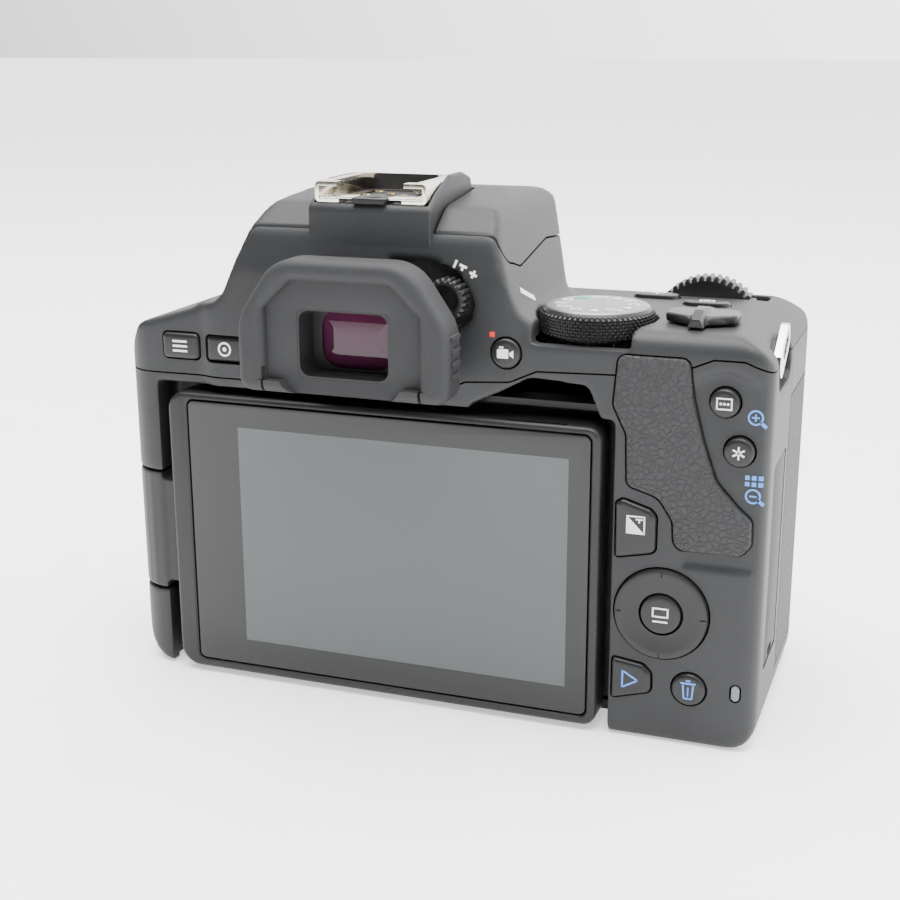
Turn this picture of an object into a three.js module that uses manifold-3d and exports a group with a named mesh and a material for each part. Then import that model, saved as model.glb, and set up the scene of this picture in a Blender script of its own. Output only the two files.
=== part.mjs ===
// Compact digital single-lens reflex camera body: covers, viewfinder, mirror and shutter,
// swing-out screen, pop-up flash, controls, battery bay. Millimetres, +Z up, lens side towards -Y.
import * as THREE from 'three';
import { mergeVertices } from 'three/addons/utils/BufferGeometryUtils.js';
import Module from 'manifold-3d';

const wasm = await Module();
wasm.setup();

// ---------------------------------------------------------------- driving dimensions
// Everything below is laid out as seen from behind: X right, Y towards the lens, Z up from the base.
// The whole camera is turned half a turn about Z at the end, so that its lens side faces -Y.
const HALF_WIDTH = 61.2;
const REAR_FACE = -20.3;
const LEFT_REAR_FACE = -19.2;
const EYECUP_REAR = -33;
const FLANGE_FRONT = 36.8;
const LOCK_PIN_TIP = 37.6;
const PLATEAU = 73;
const WALL = 2.4;
const GAP = 0.3;

const OPTIC_X = -9.7;
const OPTIC_Z = 38;
const EYE_Z = 69.4;
const THROAT_RADIUS = 27;
const RING_RADIUS = 32.5;
const BOSS_RADIUS = 33.5;
const BOSS_FRONT = 35.3;
const SENSOR_PLANE = FLANGE_FRONT - 44;
const COVER_SPLIT = 3;

const RECESS = { left: -53.4, right: 35.2, top: 57.6, floor: -12.3 };
const SCREEN = { left: -50.5, right: 33.2, bottom: 1, top: 56.2, rear: -21, back: -14 };
const GLASS = { left: -46.2, right: 31.3, bottom: 3, top: 54.7 };
const SWING_AXIS = { x: -57, y: -14 };
const TILT_AXIS = { y: -17.5, z: 28.6 };
const ARM = { bottom: 15.8, top: 39.4, right: -53.7, pocketFront: -8.3 };

const FLASH_PIVOT = { y: -14, z: 86 };
const FLASH_INNER_RADIUS = 19.1;
const FLASH_KNUCKLE = 3.5;
const PEDESTAL_HALF = 11.5;
const SHOE_HALF = 10.5;
const SHOE_FLOOR = 92;
const SHOE_TOP = 95.6;

const MIRROR_HINGE = { y: 1.2, z: 52 };
const SUB_MIRROR_HINGE = { y: 9.4, z: 41.4 };

const MODE_DIAL = { x: 28.9, y: -9, radius: 10, bottom: 69.9, top: 75.2 };
const POWER_SWITCH = { x: 47.3, y: -7.5 };
const MAIN_DIAL = { x: 43.3, y: 19, z: 66.4, radius: 10.4, width: 4.6 };
const SHUTTER = { x: 45.5, y: 28.6, z: 68.2, radius: 5, tilt: Math.PI / 4 };
const DIOPTER = { x: 6.1, z: 77, radius: 3.7 };
const CROSS_KEY = { x: 44.3, z: 24.1, outer: 8.2, inner: 3.9 };
const RELEASE = { x: -43.5, z: 32, radius: 5 };
const TRIPOD = { x: OPTIC_X, y: 8 };

// ---------------------------------------------------------------- outlines
const ARC_STEP = Math.PI / 9;

// Moves each edge of a counter-clockwise polygon of [u, v, radius] corners inwards.
function insetCorners(corners, inset) {
  const count = corners.length;
  const lines = corners.map(([u, v], i) => {
    const [nextU, nextV] = corners[(i + 1) % count];
    const length = Math.hypot(nextU - u, nextV - v);
    const direction = [(nextU - u) / length, (nextV - v) / length];
    return { point: [u - direction[1] * inset, v + direction[0] * inset], direction };
  });
  return corners.map(([, , radius = 0], i) => {
    const before = lines[(i + count - 1) % count];
    const after = lines[i];
    const cross = before.direction[0] * after.direction[1] - before.direction[1] * after.direction[0];
    const du = after.point[0] - before.point[0];
    const dv = after.point[1] - before.point[1];
    const along = (du * after.direction[1] - dv * after.direction[0]) / cross;
    const newRadius = cross > 0 ? Math.max(radius - inset, 0) : radius + inset;
    return [
      before.point[0] + before.direction[0] * along,
      before.point[1] + before.direction[1] * along,
      radius > 0 ? newRadius : 0,
    ];
  });
}

// Replaces each corner that has a radius by a tangent arc.
function roundedPoints(corners) {
  const points = [];
  corners.forEach(([u, v, radius = 0], i) => {
    const corner = new THREE.Vector2(u, v);
    const before = new THREE.Vector2(...corners.at(i - 1).slice(0, 2)).sub(corner);
    const after = new THREE.Vector2(...corners[(i + 1) % corners.length].slice(0, 2)).sub(corner);
    const half = Math.acos(THREE.MathUtils.clamp(before.dot(after) / before.length() / after.length(), -1, 1)) / 2;
    if (radius < 0.05 || half > Math.PI / 2 - 0.02) {
      points.push(corner);
      return;
    }
    const reach = radius / Math.tan(half);
    const start = corner.clone().add(before.clone().setLength(reach));
    const end = corner.clone().add(after.clone().setLength(reach));
    const bisector = before.clone().normalize().add(after.clone().normalize());
    const centre = corner.clone().add(bisector.setLength(radius / Math.sin(half)));
    const from = start.clone().sub(centre).angle();
    let turn = end.clone().sub(centre).angle() - from;
    turn -= Math.round(turn / (2 * Math.PI)) * 2 * Math.PI;
    const steps = Math.max(1, Math.ceil(Math.abs(turn) / ARC_STEP));
    for (let step = 0; step <= steps; step++) {
      const angle = from + (turn * step) / steps;
      points.push(new THREE.Vector2(centre.x + radius * Math.cos(angle), centre.y + radius * Math.sin(angle)));
    }
  });
  return points;
}

function shapeOf(corners, inset = 0) {
  return new THREE.Shape(roundedPoints(inset ? insetCorners(corners, inset) : corners));
}

function rectangle(left, bottom, right, top, radius = 0) {
  return [[left, bottom, radius], [right, bottom, radius], [right, top, radius], [left, top, radius]];
}

// A stadium, or a circle where width and height are equal.
function pill(centreU, centreV, width, height) {
  const radius = Math.min(width, height) / 2;
  const stretchU = width / 2 - radius;
  const stretchV = height / 2 - radius;
  const steps = 20;
  const points = [];
  for (let i = 0; i < steps; i++) {
    const angle = (2 * Math.PI * (i + 0.5)) / steps;
    const [c, s] = [Math.cos(angle), Math.sin(angle)];
    points.push([
      centreU + radius * c + stretchU * Math.sign(c),
      centreV + radius * s + stretchV * Math.sign(s),
    ]);
  }
  return points;
}

// A round outline whose radius alternates between two values: knurls, teeth and grips.
function toothedShape(outer, inner, teeth) {
  const points = [];
  for (let i = 0; i < teeth * 2; i++) {
    const angle = (Math.PI * i) / teeth;
    const radius = i % 2 ? inner : outer;
    points.push(new THREE.Vector2(radius * Math.cos(angle), radius * Math.sin(angle)));
  }
  return new THREE.Shape(points);
}

// ---------------------------------------------------------------- solids
function toSolid(geometry) {
  const plain = geometry.clone();
  plain.deleteAttribute('normal');
  plain.deleteAttribute('uv');
  const merged = mergeVertices(plain, 1e-4);
  return new wasm.Manifold(new wasm.Mesh({
    numProp: 3,
    vertProperties: Float32Array.from(merged.attributes.position.array),
    triVerts: Uint32Array.from(merged.index.array),
  }));
}

const cut = (base, ...tools) => tools.reduce((result, tool) => result.subtract(tool), base);
const join = (...pieces) => pieces.reduce((result, piece) => result.add(piece));
const common = (...pieces) => pieces.reduce((result, piece) => result.intersect(piece));

const AXIS_TURNS = {
  x: new THREE.Matrix4().makeBasis(
    new THREE.Vector3(0, 1, 0), new THREE.Vector3(0, 0, 1), new THREE.Vector3(1, 0, 0)),
  y: new THREE.Matrix4().makeBasis(
    new THREE.Vector3(1, 0, 0), new THREE.Vector3(0, 0, 1), new THREE.Vector3(0, -1, 0)),
  z: new THREE.Matrix4(),
};

// Extrudes a shape along an axis. The shape's own axes are (y, z) for x, (x, z) for y, (x, y) for z.
function extrude(shape, axis, from, to, bevel = 0) {
  const geometry = new THREE.ExtrudeGeometry(shape, {
    depth: to - from - 2 * bevel,
    bevelEnabled: bevel > 0,
    bevelThickness: bevel,
    bevelSize: bevel,
    bevelOffset: -bevel,
    bevelSegments: 1,
  });
  geometry.translate(0, 0, bevel);
  geometry.applyMatrix4(AXIS_TURNS[axis]);
  const shift = { x: [from, 0, 0], y: [0, to, 0], z: [0, 0, from] }[axis];
  geometry.translate(...shift);
  return toSolid(geometry);
}

const prism = (corners, axis, from, to, inset = 0, bevel = 0) =>
  extrude(shapeOf(corners, inset), axis, from, to, bevel);

function block(x0, x1, y0, y1, z0, z1) {
  const geometry = new THREE.BoxGeometry(x1 - x0, y1 - y0, z1 - z0);
  geometry.translate((x0 + x1) / 2, (y0 + y1) / 2, (z0 + z1) / 2);
  return toSolid(geometry);
}

// A cylinder along an axis; u and v are its centre on the other two axes, in the order of extrude().
function rod(axis, radius, from, to, u, v, segments = 24, endRadius = radius) {
  const geometry = new THREE.CylinderGeometry(endRadius, radius, to - from, segments);
  const middle = (from + to) / 2;
  if (axis === 'x') {
    geometry.rotateZ(-Math.PI / 2);
    geometry.translate(middle, u, v);
  } else if (axis === 'y') {
    geometry.translate(u, middle, v);
  } else {
    geometry.rotateX(Math.PI / 2);
    geometry.translate(u, v, middle);
  }
  return toSolid(geometry);
}

// ---------------------------------------------------------------- outer form of the body
const ELEVATION = [
  [-HALF_WIDTH, 0, 9], [HALF_WIDTH, 0, 5], [HALF_WIDTH, 69.5, 5], [55.5, PLATEAU, 6],
  [-41.5, PLATEAU, 3], [-57.5, 68.3, 3], [-HALF_WIDTH, 62.5, 4],
];
const PLAN = [
  [-HALF_WIDTH, LEFT_REAR_FACE, 7], [-30, LEFT_REAR_FACE, 1], [-27, REAR_FACE, 1], [HALF_WIDTH, REAR_FACE, 3.2],
  [HALF_WIDTH, 26, 8], [55, 34.5, 7], [41, 34.5, 7], [33, 20, 4], [-44, 20, 6], [-HALF_WIDTH, 10, 6],
];
const SIDE = [
  [REAR_FACE, 0, 1.5], [34.5, 0, 2.5], [34.5, 54, 8], [32, 64.5, 5], [23.5, PLATEAU, 4], [REAR_FACE, PLATEAU, 3.5],
];
const HUMP_ELEVATION = [
  [-45, 55], [25.6, 55], [25.6, 72.8], [18.2, 72.9, 5], [11.3, 93.3, 7],
  [-30.7, 93.3, 7], [-39.2, 73.2, 5], [-45, 72.8],
];
const HUMP_SIDE = [
  [REAR_FACE, 55], [34, 55], [34, 74, 3], [31, 82, 6], [20, 92, 7],
  [6, 93.3, 6], [-12, 91.3, 5], [-18.2, 87, 4], [REAR_FACE, 80, 4],
];
const HUMP_PLAN = [
  [-45, REAR_FACE, 5], [22, REAR_FACE, 5], [22, -2, 4], [19, 10, 8], [5, 34, 6],
  [-24.4, 34, 6], [-38.4, 10, 8], [-45, -2, 4],
];
// Side view of the block that carries the accessory shoe.
const PEDESTAL_SIDE = [
  [-18.8, 80], [4.4, 80], [4.4, 88], [3.7, 91.8, 1.5], [2.2, 95.2, 1.2], [-2, 96.4, 2], [-8, 96.4, 3],
  [-15, 93.6, 4], [-18.8, 91.4, 2],
];
// Side view of everything the flash head takes from the hump; its lower edge is the parting line.
const FLASH_SIDE = [
  [-16.9, 85.2], [-10.5, 81.2, 2], [8, 84, 4], [20, 83.2], [40, 79.2], [40, 100], [-16.9, 100],
];
// Line between the top cover and the covers below it, seen from behind.
const SEAM = [
  [70, 110], [-70, 110], [-70, 59.3], [3, 59.8], [8.5, 62.4], [16.6, 63], [21.4, 65.2], [40, 65.8],
  [47, 67.4], [51.4, 69.3], [56.5, 69.3], [61.2, 67.4], [70, 67.4],
];

function mainForm(inset) {
  return common(
    prism(ELEVATION, 'y', -60, 60, inset),
    prism(PLAN, 'z', -10, 120, inset),
    prism(SIDE, 'x', -80, 80, inset));
}

function humpForm(inset) {
  return common(
    prism(HUMP_ELEVATION, 'y', -60, 60, inset),
    prism(HUMP_PLAN, 'z', 40, 120, inset),
    prism(HUMP_SIDE, 'x', -80, 80, inset));
}

function mountForm(inset) {
  return join(
    rod('y', BOSS_RADIUS - inset, 10, BOSS_FRONT - inset, OPTIC_X, OPTIC_Z, 36),
    rod('y', RELEASE.radius + 2.2 - inset, 10, 29 - inset, RELEASE.x, RELEASE.z, 24));
}

const pedestal = prism(PEDESTAL_SIDE, 'x', OPTIC_X - PEDESTAL_HALF, OPTIC_X + PEDESTAL_HALF, 0, 0.8);
const hump = humpForm(0);
const outerForm = join(mainForm(0), hump, mountForm(0));

// ---------------------------------------------------------------- spaces cut into the covers
const screenRecess = join(
  block(RECESS.left, RECESS.right, -60, RECESS.floor, -5, RECESS.top),
  prism([[9.4, 50], [33.8, 50], [32.6, 58, 3], [30.4, 63.2, 2], [20.2, 63.9, 3], [14.8, 60.9, 2], [9.4, 58.4]],
    'y', -60, -16));
const recessBack = block(
  RECESS.left - 1.5, RECESS.right + 1.5, -60, RECESS.floor + 1.5, -5, RECESS.top + 1.5);
const armPocket = block(-70, RECESS.left + 1, -60, ARM.pocketFront, ARM.bottom - 0.4, ARM.top + 0.4);
const armPocketBack = block(-70, RECESS.left + 2.5, -60, ARM.pocketFront + 1.5, ARM.bottom - 1.9, ARM.top + 1.9);

const flashSpace = cut(prism(FLASH_SIDE, 'x', -60, 40, -0.35), pedestal);
const flashArmWell = cut(
  rod('x', FLASH_KNUCKLE + 0.35, OPTIC_X - 30, OPTIC_X + 30, FLASH_PIVOT.y, FLASH_PIVOT.z, 32),
  block(OPTIC_X - PEDESTAL_HALF, OPTIC_X + PEDESTAL_HALF, -60, 60, 60, 100));
const flashPinBore = rod('x', 1.4, OPTIC_X - 19.3, OPTIC_X + 19.3, FLASH_PIVOT.y, FLASH_PIVOT.z, 16);

const belowFlash = cut(block(-80, 80, -60, 60, 30, 110), prism(FLASH_SIDE, 'x', -80, 80, -2),
  block(-80, 80, -60, -9, 80, 110));
const humpCavity = common(humpForm(WALL), belowFlash);
const mainCavity = mainForm(WALL);
const mountCavity = mountForm(WALL);
const openCavity = cut(join(mainCavity, humpCavity, mountCavity), recessBack, armPocketBack);

const shoeSlot = join(
  block(OPTIC_X - SHOE_HALF - 0.2, OPTIC_X + SHOE_HALF + 0.2, -30, 1.4, SHOE_FLOOR - 0.1, 100),
  block(OPTIC_X - 6, OPTIC_X + 6, -14, 1.4, SHOE_FLOOR - 1, 100));

const throat = rod('y', THROAT_RADIUS + 2.2, 20, 60, OPTIC_X, OPTIC_Z, 36);
const eyepieceHole = prism(
  rectangle(OPTIC_X - 8.6, EYE_Z - 6.2, OPTIC_X + 8.6, EYE_Z + 6.2, 2), 'y', -40, -10);

const batteryDoorPlan = [
  [36, -7.8, 1], [57, -7.8], [57, 24], [54.9, 24.4], [53, 30, 1], [42, 30, 1], [36, 19.5, 1],
];
const basePlan = common(
  prism(PLAN, 'z', 0, 1.8, WALL + GAP),
  prism(ELEVATION, 'y', -60, 60, WALL + GAP).translate([0, 0, -WALL - 1.2]));
const baseOpening = common(
  prism(PLAN, 'z', -10, WALL + 1, WALL),
  prism(ELEVATION, 'y', -60, 60, WALL).translate([0, 0, -WALL - 2.2]));

const LUG = { y: -6.2, length: 11.5, width: 5.2, rightZ: 68.6, leftZ: 59, tilt: 30 };
const lugOutline = (z) => rectangle(LUG.y - 7.3, z - 6.1, LUG.y + 7.2, z + 12, 3);
const lugPost = (z, radius) => rod('x', radius, 56, 60, LUG.y - 3.7, z - 2.15, 12);
const lugRecess = {
  right: join(prism(lugOutline(LUG.rightZ), 'x', 59, 70), lugPost(LUG.rightZ, 1.8)),
  left: join(prism(lugOutline(LUG.leftZ), 'x', 59, 70), lugPost(LUG.leftZ, 1.8)).mirror([1, 0, 0]),
};
const lugBacking = {
  right: prism(lugOutline(LUG.rightZ), 'x', 57.4, 70, -1.5),
  left: prism(lugOutline(LUG.leftZ), 'x', 57.4, 70, -1.5).mirror([1, 0, 0]),
};
const rightDoorOpening = prism(rectangle(-13.5, 13, 0.5, 50, 0.5), 'x', 50, 70);
const leftDoorOpening = prism(rectangle(-6.3, 28, 1.2, 52, 0.5), 'x', -70, -50);

const modeDialWell = join(
  rod('z', MODE_DIAL.radius + 0.5, MODE_DIAL.bottom - GAP, 90, MODE_DIAL.x, MODE_DIAL.y, 36),
  block(MODE_DIAL.x - 8.6, MODE_DIAL.x + 8.6, -40, MODE_DIAL.y, MODE_DIAL.bottom - GAP, 90));
const modeDialAxleHole = rod('z', 3.3, 60, 72, MODE_DIAL.x, MODE_DIAL.y, 16);
const mainDialSlot = block(
  MAIN_DIAL.x - MAIN_DIAL.radius - 0.6, MAIN_DIAL.x + MAIN_DIAL.radius + 0.6,
  MAIN_DIAL.y - MAIN_DIAL.width / 2 - 0.5, MAIN_DIAL.y + MAIN_DIAL.width / 2 + 0.5, 55, 90);

// A cylinder along the tilted axis of the shutter button.
function shutterRod(radius, from, to, segments = 24, endRadius = radius) {
  const geometry = new THREE.CylinderGeometry(endRadius, radius, to - from, segments);
  geometry.translate(0, (from + to) / 2, 0);
  geometry.rotateX(SHUTTER.tilt);
  geometry.translate(SHUTTER.x, SHUTTER.y, SHUTTER.z);
  return toSolid(geometry);
}

// ---------------------------------------------------------------- controls on the rear and top
const PAD_OUTLINE = [
  [57.3, 36.1, 1.5], [58.9, 38.1, 1.5], [58.8, 42.3, 1.5], [56.4, 44.4, 2], [52.6, 48.5, 6], [50.1, 55.6, 12],
  [48.3, 62.5, 12], [47.5, 69, 1.5], [35.6, 69, 1.5], [34.9, 60.4, 2], [37.3, 55.5, 3], [37.6, 46.6, 1.5],
  [43.1, 45, 4], [45.7, 41, 3], [46, 36, 2],
];
const REAR_BUTTONS = [
  { name: 'menu_button', face: LEFT_REAR_FACE, corners: rectangle(-51.4, 62.3, -43.9, 67.1, 0.9) },
  { name: 'info_button', face: LEFT_REAR_FACE, corners: rectangle(-42.1, 62.3, -34.6, 67.1, 0.9) },
  { name: 'live_view_button', face: REAR_FACE, corners: pill(16, 67.9, 5.2, 5.2) },
  { name: 'af_point_button', face: REAR_FACE, corners: pill(53.5, 62.2, 4.9, 4.9) },
  { name: 'ae_lock_button', face: REAR_FACE, corners: pill(56.2, 54.1, 5, 5) },
  { name: 'exposure_button', face: REAR_FACE,
    corners: [[36, 33.6, 0.5], [42.9, 35.1, 1.2], [42.9, 41.6, 1.5], [41.9, 42.7, 0.8], [37, 44.2, 1], [35.9, 43.4, 0.5]] },
  { name: 'playback_button', face: REAR_FACE,
    corners: [[36, 7.3, 0.5], [43, 9.3, 1.2], [42.9, 12.9, 1.5], [41.4, 14.3, 1], [36, 15, 0.5]] },
  { name: 'erase_button', face: REAR_FACE, corners: pill(49.6, 10.8, 5.9, 5.9) },
];
const TOP_BUTTONS = [
  { name: 'iso_button', corners: pill(34.6, 13.5, 8.4, 3.8) },
  { name: 'display_button', corners: pill(44.8, 8.2, 8.4, 3.8) },
];
const BUTTON_PROUD = 0.7;
const BUTTON_DEPTH = 2.2;

const rearButtonHoles = REAR_BUTTONS.map(({ corners }) => prism(corners, 'y', -30, -12, -GAP));
const topButtonHoles = TOP_BUTTONS.map(({ corners }) => prism(corners, 'z', 65, 80, -GAP));
const crossKeyHole = rod('y', CROSS_KEY.outer + GAP, -30, -12, CROSS_KEY.x, CROSS_KEY.z, 36);
const lampOutline = pill(57.6, 11.1, 1.4, 2.8);
const lampHole = prism(lampOutline, 'y', -30, -12, -GAP);
const padRecess = prism(PAD_OUTLINE, 'y', -30, -19.2, -GAP);
const diopterHole = rod('y', 1.6, -30, -12, DIOPTER.x, DIOPTER.z, 16);
const shutterHole = shutterRod(SHUTTER.radius + GAP, -8, 8);
const powerSwitchHole = rod('z', 2.3, 60, 80, POWER_SWITCH.x, POWER_SWITCH.y, 16);
const releaseHole = rod('y', RELEASE.radius + GAP, 20, 40, RELEASE.x, RELEASE.z);
const lockPinPlace = { x: OPTIC_X - 29.6, z: OPTIC_Z };
const lockPinHole = rod('y', 1.8, 20, 50, lockPinPlace.x, lockPinPlace.z, 16);
const timerLampPlace = { x: 28.2, z: 57 };
const timerLampHole = rod('y', 2.2, 10, 40, timerLampPlace.x, timerLampPlace.z, 20);
const tripodHole = rod('z', 7.6, -5, 5, TRIPOD.x, TRIPOD.y, 32);

// ---------------------------------------------------------------- covers
const gripZone = block(32.2, 70, 4, 60, 7, 58.5);
const gripSkin = cut(common(mainForm(0), gripZone), mainForm(1.2));
const gripSeat = cut(block(31.9, 70, 3.7, 60, 6.7, 58.8), mainForm(1.45));

const cavity = cut(openCavity, lugBacking.right, lugBacking.left);
const shell = cut(
  join(cut(outerForm, flashSpace), common(pedestal, block(-80, 80, -60, 60, 80, 110))),
  cavity, screenRecess, armPocket, throat, flashArmWell, flashPinBore, shoeSlot, baseOpening,
  lugRecess.right, lugRecess.left, rightDoorOpening, leftDoorOpening);

const aboveSeam = prism(SEAM, 'y', -80, 80);
const aboveSeamWithGap = prism(SEAM, 'y', -80, 80, -GAP);

const topCover = cut(common(shell, aboveSeam),
  eyepieceHole, modeDialWell, modeDialAxleHole, mainDialSlot, padRecess, diopterHole, shutterHole, powerSwitchHole,
  ...rearButtonHoles, ...topButtonHoles);
const lowerShell = cut(shell, aboveSeamWithGap);
const rearCover = cut(common(lowerShell, block(-80, 80, -60, COVER_SPLIT - GAP / 2, -5, 110)),
  padRecess, crossKeyHole, lampHole, ...rearButtonHoles);
const frontCover = cut(common(lowerShell, block(-80, 80, COVER_SPLIT + GAP / 2, 60, -5, 110)),
  gripSeat, shutterHole, mainDialSlot, releaseHole, lockPinHole, timerLampHole);
const bottomCover = cut(basePlan, prism(batteryDoorPlan, 'z', -5, 5, -0.35), tripodHole, recessBack);

// ---------------------------------------------------------------- flash
const flashPassage = join(
  block(OPTIC_X - PEDESTAL_HALF - 0.4, OPTIC_X + PEDESTAL_HALF + 0.4, -60, FLASH_PIVOT.y, 70, 110),
  rod('x', FLASH_INNER_RADIUS, OPTIC_X - PEDESTAL_HALF - 0.4, OPTIC_X + PEDESTAL_HALF + 0.4,
    FLASH_PIVOT.y, FLASH_PIVOT.z, 64));
const flashLensPlace = [OPTIC_X - 15, OPTIC_X + 15, 14, 24];
const flashLensPocket = block(
  flashLensPlace[0] - GAP, flashLensPlace[1] + GAP, flashLensPlace[2] - GAP, flashLensPlace[3] + GAP, 80, 86.2);
const flashOutline = join(
  prism(FLASH_SIDE, 'x', -80, 80),
  rod('x', FLASH_KNUCKLE, -80, 80, FLASH_PIVOT.y, FLASH_PIVOT.z, 32));
const flashHead = cut(common(hump, flashOutline), flashPassage, flashPinBore, flashLensPocket);
const flashLens = block(...flashLensPlace, 84.2, 85.9);
const flashPin = rod('x', 1.1, OPTIC_X - 19, OPTIC_X + 19, FLASH_PIVOT.y, FLASH_PIVOT.z, 16);

// ---------------------------------------------------------------- accessory shoe
const shoeOuter = rectangle(OPTIC_X - SHOE_HALF, SHOE_FLOOR, OPTIC_X + SHOE_HALF, SHOE_TOP, 0.4);
const shoeRails = cut(
  prism(shoeOuter, 'y', -17.9, 1.1),
  block(OPTIC_X - SHOE_HALF + 0.9, OPTIC_X + SHOE_HALF - 0.9, -20, 2, SHOE_FLOOR + 0.6, SHOE_TOP - 0.8),
  block(OPTIC_X - 6.3, OPTIC_X + 6.3, -20, 2, SHOE_FLOOR + 0.6, SHOE_TOP + 1),
  block(OPTIC_X - 5.7, OPTIC_X + 5.7, -20, -0.9, SHOE_FLOOR - 1, SHOE_TOP + 1));
const contactPlaces = [[0, -8], [-3.6, -11], [3.6, -11], [-3.6, -5], [3.6, -5]];
const shoeBase = join(
  block(OPTIC_X - 5.4, OPTIC_X + 5.4, -13.7, -1.2, SHOE_FLOOR - 0.7, SHOE_FLOOR + 0.5),
  ...contactPlaces.map(([dx, y]) => rod('z', 0.9, SHOE_FLOOR, SHOE_FLOOR + 0.8, OPTIC_X + dx, y, 12)));

// ---------------------------------------------------------------- viewfinder
const EYEPIECE = { halfWidth: 11.2, bottom: 61.8, top: 77.2, rear: -30.6 };
const eyepieceOutline = rectangle(
  OPTIC_X - EYEPIECE.halfWidth, EYEPIECE.bottom, OPTIC_X + EYEPIECE.halfWidth, EYEPIECE.top, 1.5);
const eyepieceWindow = rectangle(OPTIC_X - 8.2, EYE_Z - 5.7, OPTIC_X + 8.2, EYE_Z + 5.7, 1.8);
const eyepieceLensOutline = rectangle(OPTIC_X - 8.9, EYE_Z - 6.4, OPTIC_X + 8.9, EYE_Z + 6.4, 2.4);
const eyepieceFrame = cut(
  prism(eyepieceOutline, 'y', EYEPIECE.rear, REAR_FACE - GAP),
  prism(eyepieceWindow, 'y', -40, -10),
  prism(eyepieceLensOutline, 'y', -25, -10, -GAP));
const eyepieceLens = prism(eyepieceLensOutline, 'y', -24.6, -21.4, 0, 0.6);

const EYECUP = { left: -28.9, right: 9.9, bottom: 60.7, top: 84, front: -25.4 };
const eyecupOutline = [
  [EYECUP.left, EYECUP.bottom, 2.5], [EYECUP.right, EYECUP.bottom, 2.5], [EYECUP.right, 73.5, 9],
  [2.8, EYECUP.top, 8], [-21.8, EYECUP.top, 8], [EYECUP.left, 73.5, 9],
];
const eyecup = cut(
  prism(eyecupOutline, 'y', EYECUP_REAR, EYECUP.front, 0, 1.4),
  prism(rectangle(-23.6, 63.6, 4.2, 79.9, 2.5), 'y', -40, EYECUP_REAR + 1.6),
  prism(eyepieceWindow, 'y', -40, -20, -0.3),
  block(OPTIC_X - EYEPIECE.halfWidth - GAP, OPTIC_X + EYEPIECE.halfWidth + GAP,
    EYEPIECE.rear - GAP, -20, 50, EYEPIECE.top + GAP));

const diopterDial = join(
  extrude(toothedShape(DIOPTER.radius, DIOPTER.radius - 0.45, 18), 'y', -23.8, REAR_FACE - GAP)
    .translate([DIOPTER.x, 0, DIOPTER.z]),
  rod('y', 1.3, -21, -16.5, DIOPTER.x, DIOPTER.z, 16));

const focusingScreen = block(OPTIC_X - 14.5, OPTIC_X + 14.5, 3.5, 31, 55.3, 56.8);
const PENTA_OUTLINE = [[-5.5, 57.2], [27, 57.2], [27.5, 65.5], [12.5, 77.6], [-5.5, 73.6]];
const pentamirror = cut(
  prism(PENTA_OUTLINE, 'x', OPTIC_X - 15.5, OPTIC_X + 15.5),
  prism(PENTA_OUTLINE, 'x', OPTIC_X - 14, OPTIC_X + 14, 1.5),
  block(OPTIC_X - 12.5, OPTIC_X + 12.5, 3, 25, 50, 60),
  block(OPTIC_X - 9, OPTIC_X + 9, -20, 0, EYE_Z - 6, EYE_Z + 3));

// ---------------------------------------------------------------- mirror box, mirrors, shutter, sensor
const mirrorBox = cut(
  join(
    block(OPTIC_X - 18.5, OPTIC_X + 18.5, -2.5, 33, 20.5, 55),
    rod('y', 27.7, 31, 33, OPTIC_X, OPTIC_Z, 36)),
  block(OPTIC_X - 16, OPTIC_X + 16, 0.2, 40, 23.5, 53),
  block(OPTIC_X - 13, OPTIC_X + 13, -10, 5, 29, 47),
  block(OPTIC_X - 13, OPTIC_X + 13, 5, 30, 50, 60));

const mainMirrorLength = 30;
function mirrorPlate(width, length, thickness, hinge, angle) {
  const geometry = new THREE.BoxGeometry(width, length, thickness);
  geometry.translate(0, length / 2, 0);
  geometry.rotateX(angle);
  geometry.translate(OPTIC_X, hinge.y, hinge.z);
  return toSolid(geometry);
}
const mainMirror = mirrorPlate(28, mainMirrorLength, 1.4, MIRROR_HINGE, -Math.PI / 4);
const subMirror = mirrorPlate(17, 11.5, 0.8, SUB_MIRROR_HINGE, (-3 * Math.PI) / 4);

const shutterFrame = cut(
  block(OPTIC_X - 16, OPTIC_X + 16, -6.9, -2.9, 9.5, 52),
  block(OPTIC_X - 12, OPTIC_X + 12, -10, 0, 30, 46.4),
  block(OPTIC_X - 12.9, OPTIC_X + 12.9, -5.5, -4.3, 11, 48));
const shutterCurtain = block(OPTIC_X - 12.6, OPTIC_X + 12.6, -5.2, -4.6, 29.2, 47.4);
const imageSensor = join(
  block(OPTIC_X - 16, OPTIC_X + 16, SENSOR_PLANE - 1.7, SENSOR_PLANE - 0.9, 25.5, 50.5),
  block(OPTIC_X - 11.2, OPTIC_X + 11.2, SENSOR_PLANE - 1, SENSOR_PLANE, 30.5, 45.5));
const mainBoard = block(-44, 31, -10.5, -9.3, 6, 55);

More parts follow.
